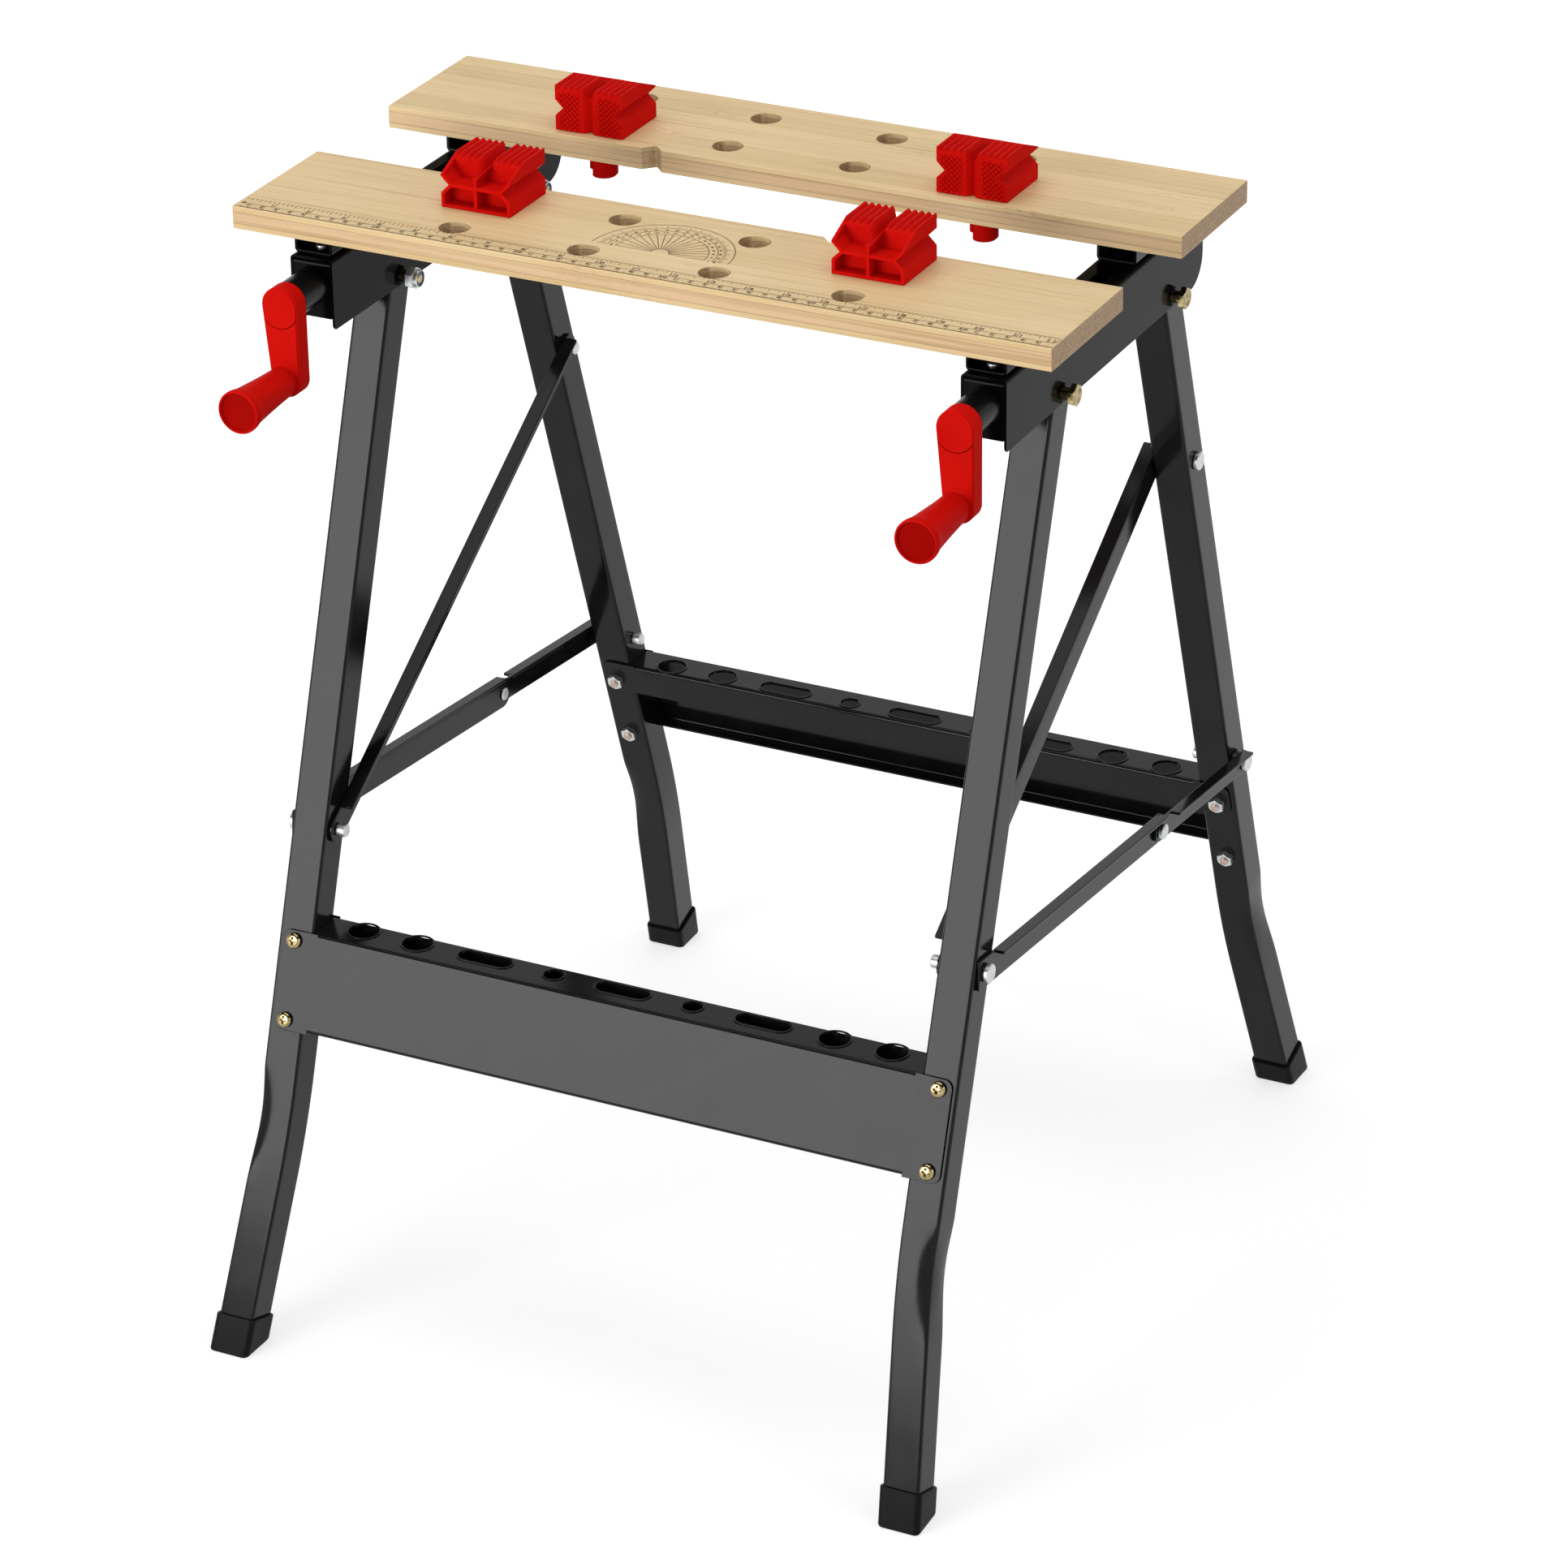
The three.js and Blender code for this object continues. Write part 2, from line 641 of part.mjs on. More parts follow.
function tray() {
  const outside = -trayFace - traySheet;
  const seam = traySheet / 4;
  const panel = sweepY(
    roundedBox(trayWidth, trayHeight, trayCorner, -trayDistance - trayHeight / 2), outside, -trayFace, cornerSegments);
  const shelfDepth = (2 * trayFace + traySheet) / Math.cos(legTilt);
  const shelfShape = polygon([[-shelfHalf, 0], [shelfHalf, 0], [shelfHalf, shelfDepth], [-shelfHalf, shelfDepth]]);
  const middle = shelfDepth / 2 + trayHoleSetback;
  const endHole = shelfHalf - trayEndInset;
  const nextHole = endHole - trayEndSpacing;
  const holeSpacing = nextHole / trayHoleSteps;
  for (const side of [-1, 1]) {
    circleHole(shelfShape, side * holeSpacing, middle, traySmallDiameter);
    circleHole(shelfShape, side * nextHole, middle, trayHoleDiameter);
    circleHole(shelfShape, side * endHole, middle, trayHoleDiameter);
  }
  for (const place of [-2, 0, 2]) {
    const slot = new THREE.Path();
    const x = place * holeSpacing;
    const reach = (traySlotLength - traySlotWidth) / 2;
    slot.absarc(x + reach, middle, traySlotWidth / 2, -Math.PI / 2, Math.PI / 2);
    slot.absarc(x - reach, middle, traySlotWidth / 2, Math.PI / 2, 1.5 * Math.PI);
    shelfShape.holes.push(slot);
  }
  const tilt = THREE.MathUtils.radToDeg(legTilt);
  const shelf = sweepZ(shelfShape, -traySheet, 0, roundSegments - cornerSegments).rotate([tilt, 0, 0])
    .translate([0, outside + traySheet / 2, -trayDistance - seam]);
  const flangeTop = -trayDistance + shelfDepth * Math.sin(legTilt);
  const flange = box(-trayWidth / 2, trayWidth / 2, trayFace, trayFace + traySheet, flangeTop - trayFlange, flangeTop);
  const lip = box(-shelfHalf, shelfHalf, 0, trayLip, 0, traySheet).rotate([tilt, 0, 0])
    .translate([0, outside + traySheet / 2, -trayDistance - trayHeight + seam]);
  const bolts = [-railX, railX].flatMap((x) => screwDistances.map((distance) =>
    rodY(boreRadius(screwDiameter), outside - cutMargin, -outside + cutMargin, smallSegments)
      .translate([x, 0, -distance])));
  return cut(join(panel, shelf, flange, lip), ...bolts);
}

// Tray screw with its nut; the upper nut also clamps the tray's flange
function trayScrew(clampsFlange) {
  const headFace = -trayFace - traySheet - runningGap;
  const nutSeat = trayFace + (clampsFlange ? traySheet + runningGap : 0);
  const nutEnd = nutSeat + screwNutHeight;
  const shank = toSolid(turned([
    [0, headFace - screwHeadHeight],
    [screwHeadDiameter * 0.28, headFace - screwHeadHeight],
    [screwHeadDiameter / 2, headFace - screwHeadHeight * 0.35],
    [screwHeadDiameter / 2, headFace],
    [screwDiameter / 2, headFace],
    [screwDiameter / 2, nutEnd + screwTail],
    [0, nutEnd + screwTail],
  ], smallSegments));
  const nut = toSolid(hexagon(screwNutSize, screwNutHeight).translate(0, nutSeat + screwNutHeight / 2, 0));
  return join(shank, nut);
}

const legFrames = [
  ['front', frontPivot, 0, [[0, boltDiameter], [stayDistanceFront, rivetDiameter]]],
  ['rear', rearPivot, Math.PI, [[0, boltDiameter], [stayDistanceRear, rivetDiameter], [braceDistanceRear, rivetDiameter]]],
];

for (const [end, pivot, heading, pivots] of legFrames) {
  const turnedFrame = placed(workbench, 0, pivot.x, pivot.y);
  turnedFrame.rotation.z = heading;
  const legFrame = placed(turnedFrame, 0, 0, 0);
  legFrame.rotation.x = -legTilt;
  addPart(legFrame, `${end}_tray`, 'blackSteel', tray());
  for (const [side, hand] of sides) {
    const facing = heading === 0 ? side : -side;
    const tubeFrame = placed(legFrame, facing * railX, 0, 0);
    addPart(tubeFrame, `${hand}_${end}_leg`, 'blackSteel', leg(facing, pivots));
    addPart(tubeFrame, `${hand}_${end}_foot_cap`, 'blackRubber', footCap(facing));
    for (const [place, distance, clampsFlange] of [['upper', screwDistances[0], true], ['lower', screwDistances[1], false]]) {
      const screwFrame = placed(tubeFrame, 0, 0, -distance);
      addPart(screwFrame, `${hand}_${end}_tray_screw_${place}`, 'zincYellow', trayScrew(clampsFlange));
    }
  }
}

// A flat bar drawn along y from its first pivot, round at the far end and square or round at the near one
function barOutline(length, halfHeight, squareTab) {
  const shape = new THREE.Shape();
  if (squareTab) {
    shape.moveTo(-linkTab, halfHeight);
    shape.lineTo(-linkTab, -halfHeight);
  } else {
    shape.absarc(0, 0, halfHeight, Math.PI / 2, 1.5 * Math.PI);
  }
  shape.absarc(length, 0, halfHeight, -Math.PI / 2, Math.PI / 2);
  return shape;
}

// An angle bar: the web between two layers and a flange along its upper edge
function angleBar(side, outline, halfHeight, layers, flangeWidth, flangeSpan, holes) {
  const [inner, outer] = layers.map((x) => side * x).sort((a, b) => a - b);
  const web = sweepX(outline, inner, outer);
  const outward = Math.sign(layers[0] + layers[1]) * side;
  const flangeX = [outward > 0 ? inner : outer - flangeWidth, outward > 0 ? inner + flangeWidth : outer];
  const flange = box(...flangeX, ...flangeSpan, halfHeight - linkSheet, halfHeight);
  const reach = Math.abs(layers[1]) + flangeWidth;
  const bores = holes.map((y) => rodX(boreRadius(rivetDiameter), -reach, reach, smallSegments).translate([0, y, 0]));
  return cut(join(web, flange), ...bores);
}

// The visible head of a rivet, formed on the bar it holds
function rivetHead(side, x0, x1, y) {
  const [low, high] = [side * x0, side * x1].sort((a, b) => a - b);
  return rodX(rivetHeadDiameter / 2, low, high, smallSegments).translate([0, y, 0]);
}

function barFrame(side, from, to) {
  const frame = placed(workbench, side * railX, from.x, from.y);
  frame.rotation.x = Math.atan2(to.y - from.y, to.x - from.x);
  return frame;
}

// A rivet lies along x: shank with a head at each end given by [from, to] layers, and collars that fill gaps
function rivet(side, span, heads) {
  const low = Math.min(...span);
  const high = Math.max(...span);
  const shank = turnedX([[0, low], [rivetDiameter / 2, low], [rivetDiameter / 2, high], [0, high]], side, smallSegments);
  const rings = heads.map(([x0, x1, diameter]) =>
    turnedX([[0, x0], [diameter / 2, x0], [diameter / 2, x1], [0, x1]], side, smallSegments));
  return join(shank, ...rings);
}

const braceLength = braceRearPoint.distanceTo(stayFrontPoint);
const rearLinkLength = stayRearPoint.distanceTo(kneePoint);
const outerHead = (x) => [x + runningGap, x + runningGap + rivetHeadHeight, rivetHeadDiameter];
const innerHead = (x) => [x - runningGap - rivetTailHeight, x - runningGap, rivetHeadDiameter];
const collar = [legFace + runningGap, rearLinkInnerX - runningGap, rivetHeadDiameter];

for (const [side, hand] of sides) {
  const braceFrame = barFrame(side, stayFrontPoint, braceRearPoint);
  const brace = angleBar(side, barOutline(braceLength, braceHalfHeight, false), braceHalfHeight,
    [braceInnerX, braceOuterX], braceFlange, [braceFlangeInset, braceLength - braceFlangeInset], [0]);
  const braceTail = rivetHead(side, braceInnerX - rivetHeadHeight, braceOuterX - linkSheet / 2, braceLength);
  addPart(braceFrame, `${hand}_brace`, 'blackSteel', join(brace, braceTail));

  const frontLinkFrame = barFrame(side, stayFrontPoint, kneePoint);
  const frontLink = angleBar(side, barOutline(frontLinkLength, frontLinkHalfHeight, true), frontLinkHalfHeight,
    [frontLinkInnerX, frontLinkOuterX], linkFlange, [frontFlangeInset, frontLinkLength + flangeOverrun], [frontLinkLength]);
  const stayHead = rivetHead(side, frontLinkInnerX + linkSheet / 2, frontLinkOuterX + rivetHeadHeight, 0);
  addPart(frontLinkFrame, `${hand}_stay_front_link`, 'blackSteel', join(frontLink, stayHead));

  const rearLinkFrame = barFrame(side, kneePoint, stayRearPoint);
  const rearLink = angleBar(side, barOutline(rearLinkLength, rearLinkHalfHeight, false), rearLinkHalfHeight,
    [rearLinkInnerX, rearLinkOuterX], linkFlange, [rearFlangeInset, rearLinkLength + flangeOverrun], [0, rearLinkLength]);
  addPart(rearLinkFrame, `${hand}_stay_rear_link`, 'blackSteel', rearLink);

  const rivets = [
    ['brace_front_rivet', stayFrontPoint, [braceInnerX, legFace], [innerHead(braceInnerX)]],
    ['brace_rear_rivet', braceRearPoint, [-legFace, legFace], [outerHead(legFace)]],
    ['stay_rear_rivet', stayRearPoint, [-legFace, rearLinkOuterX], [outerHead(rearLinkOuterX), collar]],
    ['knee_rivet', kneePoint, [frontLinkInnerX, rearLinkOuterX],
      [outerHead(rearLinkOuterX), innerHead(frontLinkInnerX)]],
  ];
  for (const [name, point, span, heads] of rivets) {
    const ends = heads.flatMap(([x0, x1]) => [x0, x1]);
    const rivetFrame = placed(workbench, side * railX, point.x, point.y);
    const whole = [Math.min(...span, ...ends), Math.max(...span, ...ends)];
    addPart(rivetFrame, `${hand}_${name}`, 'zincSilver', rivet(side, whole, heads));
  }
}

// Bench dogs: the clamping face looks along +y and the peg's axis is the origin
function benchDog() {
  const half = dogWidth / 2;
  const valley = dogValleyWidth / 2;
  const floor = dogValleyFloor / 2;
  const front = polygon([
    [-half, 0],
    [half, 0],
    [half, dogVeeHeight - dogVeeDepth],
    [half - dogVeeDepth, dogVeeHeight],
    [half, dogVeeHeight + dogVeeDepth],
    [half, dogHeight],
    [valley, dogHeight],
    [floor, dogHeight - dogValleyDepth],
    [-floor, dogHeight - dogValleyDepth],
    [-valley, dogHeight],
    [-half, dogHeight],
    [-half, dogVeeHeight + dogVeeDepth],
    [-half + dogVeeDepth, dogVeeHeight],
    [-half, dogVeeHeight - dogVeeDepth],
  ]);
  const profile = polygon([
    [-dogBackReach, 0],
    [dogFaceReach, 0],
    [dogFaceReach, dogHeight],
    [dogFaceReach - dogTopDepth, dogHeight],
    [-dogBackReach, dogBackHeight],
  ]);
  const body = sweepY(front, -dogBackReach, dogFaceReach)
    .intersect(sweepX(profile, -half - cutMargin, half + cutMargin));
  const groove = sweepZ(polygon([
    [-dogFaceGroove - cutMargin, dogFaceReach + cutMargin],
    [0, dogFaceReach - dogFaceGroove],
    [dogFaceGroove + cutMargin, dogFaceReach + cutMargin],
  ]), -cutMargin, dogHeight + cutMargin);
  const wall = dogPocketWall;
  const pocketSide = half - dogVeeDepth - wall;
  const pocketBack = -dogBackReach - cutMargin;
  const pocketEnd = -dogBackReach + dogPocketDepth;
  const pockets = [-1, 1].flatMap((side) => {
    const [x0, x1] = [side * wall / 2, side * pocketSide].sort((a, b) => a - b);
    return [
      box(x0, x1, pocketBack, pocketEnd, wall, dogVeeHeight - wall / 2),
      box(x0, x1, pocketBack, pocketEnd, dogVeeHeight + wall / 2, dogHeight + cutMargin),
    ];
  });
  const peg = rodZ(dogHoleDiameter / 2 - dogPegClearance, -dogPegLength, wall);
  return join(cut(body, groove, ...pockets), peg);
}

const outerHole = dogHoleSpacing * (dogHolesPerRow - 1) / 2;
for (const [side, hand] of sides) {
  const frontDog = placed(workbench, side * outerHole, frontJawInner - dogRowInset, benchHeight + runningGap);
  addPart(frontDog, `${hand}_front_dog`, 'redPlastic', benchDog());
  const rearDog = placed(workbench, side * outerHole, rearJawInner + dogRowInset, benchHeight + runningGap);
  rearDog.rotation.z = Math.PI;
  addPart(rearDog, `${hand}_rear_dog`, 'redPlastic', benchDog());
}

export default workbench;
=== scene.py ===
import json
from math import asin, atan2, cos, hypot, pi, radians, sin, tan, tau

import bmesh
import bpy
from mathutils import Matrix, Vector
from mathutils.geometry import tessellate_polygon


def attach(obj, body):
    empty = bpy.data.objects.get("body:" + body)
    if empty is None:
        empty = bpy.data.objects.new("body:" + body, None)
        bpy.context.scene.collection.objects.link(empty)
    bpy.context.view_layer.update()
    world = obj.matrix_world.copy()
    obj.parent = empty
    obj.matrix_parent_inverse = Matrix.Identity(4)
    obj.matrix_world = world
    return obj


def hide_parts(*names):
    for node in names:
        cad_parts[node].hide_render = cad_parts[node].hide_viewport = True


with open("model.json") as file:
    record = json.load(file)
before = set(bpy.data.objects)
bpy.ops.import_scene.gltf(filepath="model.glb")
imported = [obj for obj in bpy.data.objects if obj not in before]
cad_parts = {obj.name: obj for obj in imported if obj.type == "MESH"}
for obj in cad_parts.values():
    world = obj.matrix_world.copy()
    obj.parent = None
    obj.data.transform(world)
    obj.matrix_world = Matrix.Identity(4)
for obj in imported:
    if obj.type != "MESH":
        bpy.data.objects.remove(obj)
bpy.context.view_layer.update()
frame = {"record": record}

BODIES = frame["record"]["behaviour"]["bodies"]
BODY_OF = {name: body for body, names in BODIES.items() for name in names}
MM = 0.001
SIDES = ((-1, "left"), (1, "right"))

# Clearance, how far joined forms reach into each other, and a cutter's bevel and its steps
GAP = 0.3
OVERLAP = 1
CUTTER_EDGE = (0.01, 1)

# Boards; sizes are in millimetres, and in metres for materials, camera, floor and lamps
BENCH_HEIGHT = 753
JAW_LENGTH = 560
JAW_WIDTH = 106
JAW_THICKNESS = 15
JAW_FRONT = -186
REAR_JAW_FRONT = 11
JAW_CORNER = 0.8
JAW_EDGE = 0.5
HOLE_DIAMETER = 20
HOLE_SPACING = 90
HOLE_INSET = 25.4
NOTCH_DEPTH = 7.2
NOTCH_OFFSET = 87

# Rails and what they carry
RAIL_X = 231
RAIL_WIDTH = 30
RAIL_SHEET = 1.5
RAIL_BEND = 3
RAIL_EDGE = 0.4
RAIL_TOP = 722.5
RAIL_BOTTOM = 675.5
RAIL_FRONT = -175
RAIL_REAR = 128
RAIL_TAIL_RADIUS = 20
RAIL_SLOT = (-4.8, 4.8, -52.5, 67.5)
RAIL_SLOT_CORNER = 2
BRACKET_HEIGHT = 38
BRACKET_SHEET = 2
BRACKET_BEND = 2.2
BRACKET_EDGE = 0.4
BRACKET_FLANGE = 14
SEAT_WIDTH = 27
SEAT_HEIGHT = 14.9
SEAT_LENGTH = 60
SEAT_WALL = 2
SEAT_CORNER = 3
SEAT_INNER_CORNER = 1.2
SEAT_EDGE = 0.4
SEAT_FRONT = -171.5
SEAT_SCREW_SETBACK = 11
SEAT_SCREW_SCALE = 0.8
TRAVELLER_FRONT = 23.5
NUT_Y = 47.5
NUT_SIZE = 20
NUT_BELOW = 8
NUT_CORNER = 1.5
NUT_EDGE = 0.5
NECK_WIDTH = 9
NECK_LENGTH = 16
NECK_CORNER = 1
NECK_EDGE = 0.2

# Spindle, crank and grip; the grip's profiles have radii and heights from its far end
SPINDLE_Z = 704
SPINDLE_RADIUS = 6
SPINDLE_REAR = 67.5
SPINDLE_EDGE = 0.4
STUB_RADIUS = 5
STUB_FRONT = -213.3
THREAD_FRONT = -152
THREAD_REAR = 62.5
THREAD_PITCH = 5
THREAD_DEPTH = 1
COLLAR_RADIUS = 12
COLLAR_FRONT = -203.3
COLLAR_REAR = -175.3
COLLAR_EDGE = 0.8
WASHER_RADIUS = 9
WASHER_FRONT = -160.7
WASHER_REAR = -156.7
CRANK_BACK = -203.6
CRANK_FRONT = -216.6
CRANK_THROW = 50
CRANK_BOSS = 12.5
CRANK_TOE = 10.2
CRANK_RIM = 0.8
CRANK_EDGE = 0.7
CRANK_FACE_EDGE = 0.25
CRANK_SEAT = 1
CRANK_SEAT_EDGE = (0.4, 0.3)
CRANK_SEAT_ROOT = 8.6
CRANK_DISC = 13.4
CRANK_DISC_DROP = 1.2
CRANK_GROOVE = 0.5
GRIP_FRONT = -217.9
GRIP_LENGTH = 53
GRIP_NECK = 10.2
GRIP_SWELL = 2.8
GRIP_CURVE = 1.35
GRIP_EDGE = 0.4
GRIP_BELL = (
    (13.7, -7), (14.1, -5), (14.3, -3.4), (14.3, -1.2), (14, -0.4),
    (13.4, 0), (12.9, 0), (12.6, -0.5), (12.4, -2.4), (0, -2.4),
)
GRIP_BELL_LENGTH = 10
GRIP_PLUG = ((0, -2.8), (12.2, -2.8), (12.2, -2.3), (12, -2.1), (0, -2.1))

# Legs
PIVOT_Z = 680
PIVOT_Y = 86
TILT = radians(18.6)
LEG_HALF = 12.5
LEG_CORNER = 1.7
LEG_HEAD = 9
LEG_REACH = PIVOT_Z / cos(TILT)
LEG_RINGS = (0, 150, 300, 430)
LEG_SIDE = (-1, -0.7, -0.4, 0, 0.4, 0.7)
BEND_HEIGHT = 145
BEND_LENGTH = 70
BEND_LEAD = 20
FOOT_SPLAY = 13
CRIMP_DEPTH = 1.5
CRIMP_PINCH = 2.3
CRIMP_LENGTH = 84
CRIMP_SKEW = 0.8
CRIMP_MIDDLE = 0.55
CRIMP_FOCUS = 6
PINCH_FOCUS = 2.5
CAP_HEIGHT = 22
CAP_WALL = 1.7
CAP_SOLE = 4
CAP_LIP = ((0, -0.7), (0.25, -0.2), (0.8, 0), (10, 0))
CAP_EDGE = ((1.2, 0), (0.3, -0.4), (0, -1.2))

# Trays
TRAY_DISTANCE = 431.3
TRAY_HEIGHT = 67
TRAY_SHEET = 1.2
TRAY_EDGE = 0.9
TRAY_ROUND = (0.3, 70)
TRAY_CORNER = 6
TRAY_FLANGE = 26
TRAY_LIP = 12
TRAY_HALF = 240
SHELF_HALF = 218.2
SHELF_EDGE = (0.02, 1)
TRAY_FACE = 12.8
SHEET_BEND = 1.9
EAR_OVERLAP = 4
EAR_RECESS = 0.04
SHELF_DEPTH = (2 * TRAY_FACE + TRAY_SHEET) / cos(TILT)
HOLE_LINE = SHELF_DEPTH / 2 + 3
TRAY_HOLES = ((50, 13), (150, 20), (190, 20))
TRAY_SLOTS = (-100, 0, 100)
TRAY_SLOT_SIZE = (38, 13)
HOLE_RIM = 1.4
HOLE_RIM_HEIGHT = (-0.4, 0.7)
HOLE_RIM_EDGE = 0.4

# Fasteners; profiles are radii and heights, from the nut's end or, for screws, from the seat
SCREW_INSET = 7
SCREW_RADIUS = 2.5
SCREW_HEAD_RADIUS = 5.25
SCREW_HEAD_HEIGHT = 3.2
SCREW_HEAD_WALL = 0.9
SCREW_HEAD_DOME = 2.6
SCREW_HEAD_CROWN = 0.3
SCREW_HEAD_FOOT = ((0, -0.4), (SCREW_HEAD_RADIUS - 0.2, -0.4), (SCREW_HEAD_RADIUS, -0.1))
RECESS_MOUTH = (-3.5, 3.5, -0.95, 0.95)
RECESS_FLOOR = (-1.5, 1.5, -0.6, 0.6)
RECESS_DEPTH = 2.2
SCREW_NUT_FLATS = 10
SCREW_NUT_HEIGHT = 4.4
SCREW_TIP = ((0, 3.5), (2.9, 3.5), (2.9, 5.4), (2.2, 6.2), (0, 6.5))
HEX_SEGMENTS = 48
HEX_CROWN = 0.475
BOLT_RADIUS = 4
BOLT_POINT = 2.6
BOLT_POINT_LENGTH = 1.2
BOLT_FACE = 15.3
BOLT_STAND_OFF = 1.3
BOLT_FLATS = 13
BOLT_HEAD_HEIGHT = 6
BOLT_NECK = 3.3
BOLT_DISH = 1.1
LOCK_NUT_HEIGHT = 7
LOCK_NUT_CROWN = 2.5
LOCK_NUT_GAP = 2.2
LOCK_NUT_SHOULDER = 0.6
CROWN_RADIUS = 5.9
CROWN_END = ((CROWN_RADIUS, -0.8), (5.5, -0.2), (5, 0), (4.9, -1), (0, -1))
NUT_INSERT = ((0, -2), (4.85, -2), (4.85, -0.9), (4.5, -0.7), (0, -0.7))
RIVET_RADIUS = 3
RIVET_HEAD_RADIUS = 6.2
RIVET_HEAD_HEIGHT = 3.5
RIVET_EDGE = 0.3
RIVET_ROUND = 1.2
RIVET_TAIL_HEIGHT = 1.6
RIVET_TAIL_RADIUS = 4.4
RIVET_COLLAR_RADIUS = 5.8
KNEE_HEAD_RADIUS = 5.2
RIVET_STUB_HEIGHT = 6.5
RIVET_STUB_RADIUS = 4.4
BUTTON_NECK_RADIUS = 4
BUTTON_NECK = 1.6
BUTTON_RADIUS = 6.4
BUTTON_RISE = 1.2
BUTTON_HEIGHT = 3.1

# Stays and braces; a span says how far past the first and the last pivot a flange starts and ends
STAY_FRONT = 362.6
STAY_REAR = 407.7
BRACE_REAR = 137.7
FRONT_LINK_LENGTH = 274
LINK_SHEET = 2
LINK_EDGE = 0.35
LINK_FLANGE = 8
FLANGE_CORNER = 1
FLANGE_EDGE = 0.5
FLANGE_OVERLAP = 0.1
FRONT_LINK_HALF = 10
FRONT_LINK_SPAN = (14, 4)
FRONT_LINK_TAB = 9
TAB_CORNER = 1.2
REAR_LINK_HALF = 7.6
REAR_LINK_SPAN = (18, 1.5)
BRACE_HALF = 9
BRACE_FLANGE = 10
BRACE_SPAN = (12, 1.5)

# Dogs
DOG_X = 135
DOG_FRONT_Y = -105.4
DOG_REAR_Y = 36.4
DOG_HALF = 24.25
DOG_FACE = 20
DOG_BACK = -28
DOG_HEIGHT = 30
DOG_TOP_END = -7
DOG_BACK_HEIGHT = 21.5
DOG_SLOPE = (DOG_HEIGHT - DOG_BACK_HEIGHT) / (DOG_TOP_END - DOG_BACK)
DOG_VEE_HEIGHT = 15
DOG_VEE_DEPTH = 5.5
DOG_FACE_GROOVE = 4.8
DOG_VALLEY_HALF = 4.7
DOG_VALLEY_FLOOR = 1.1
DOG_VALLEY_DEPTH = 8
DOG_GROOVES = 4
DOG_CREST = 1.3
DOG_POCKET_DEPTH = 14.5
DOG_LOWER_DEPTH = 9.5
DOG_POCKET_SLANT = 5
DOG_RIB_DEPTH = 2.1
DOG_WALL = 2.2
DOG_VEE_THINNING = 0.4
DOG_ROUND = (0.35, 35)
DOG_PEG_RADIUS = 9.2
DOG_PEG_LENGTH = 34
DOG_PEG_EDGE = 1.5
DOG_PEG_SPLIT = (4.2, 4.9)
DOG_PEG_SPLIT_TOP = -12
DOG_PEG_STEP = 5.5
DOG_PEG_STEP_X = 4.5
DOG_PEG_CUT = 12
KNURL_WIDTH = 3.8
KNURL_HEIGHT = 3.6
KNURL_DEPTH = 0.9
KNURL_FOOT = 0.94
KNURL_TOP = 0.66
KNURL_SINK = 0.05
KNURL_MARGINS = (0.2, 0.6, 0.4)

# Printed marks; a label is its distance from an edge and its size, an arc its radius and its line
PRINT_BASE = BENCH_HEIGHT - 0.05
PRINT_TOP = BENCH_HEIGHT + 0.04
PRINT_MIDDLE = (PRINT_BASE + PRINT_TOP) / 2
DIGIT_WEIGHT = 0.024
DIGIT_STRETCH = 1.15
DIGIT_REACH = 0.42
INCH = 25.4
INCH_PARTS = 16
LAST_INCH = 22
COARSE_INCHES = 6
INCH_TICKS = {16: 8.0, 8: 4.6, 4: 3.4, 2: 2.7, 1: 2.0}
INCH_LABEL = (6.2, 4.6)
RULER_TOP = -169.4
RULER_MIDDLE = -177.9
RULER_BOTTOM = -185.0
RULER_MIDDLE_LINE = 0.4
RULER_BOTTOM_LINE = 0.5
RULER_LINE = 0.22
MILLIMETRE_LINE = 0.16
MILLIMETRE_TICK = 1.3
FIFTH_TICK = 2.4
CENTIMETRE_LABEL = (4.4, 4.2)
ZERO_LABEL = (4.2, 4.4)
PROTRACTOR = (0, -146)
PROTRACTOR_ARCS = ((46.5, 0.52), (36, 0.44), (30.4, 0.44), (6, 0.5))
PROTRACTOR_TICKS = (39.2, 41.6, 43.6)
PROTRACTOR_TICK_LINE = 0.3
PROTRACTOR_SPOKE = (6, 30.4, 0.46)
PROTRACTOR_ROWS = (33.2, 37.6)
PROTRACTOR_DIGIT = 2.3
PROTRACTOR_DIGIT_PITCH = 1.15


# Outlines; below STRAIGHT a corner isn't rounded, and below SHARPEST it is inset no further
STRAIGHT = 0.001
SHARPEST = 0.3
SLOT_FLAT = 0.02


def spread(start, end, steps):
    return [start + (end - start) * k / steps for k in range(steps + 1)]


def quarter(steps):
    """Sine and cosine through a quarter turn."""
    return [(sin(turn), cos(turn)) for turn in spread(0, pi / 2, steps)]


def arc(centre, radius, start, end, steps):
    turns = spread(start, end, steps)
    return [Vector((centre[0] + radius * cos(a), centre[1] + radius * sin(a))) for a in turns]


def circle(radius, centre=(0, 0), segments=40):
    return arc(centre, radius, 0, tau, segments)[:-1]


def rectangle(x0, x1, y0, y1):
    return [(x0, y0), (x1, y0), (x1, y1), (x0, y1)]


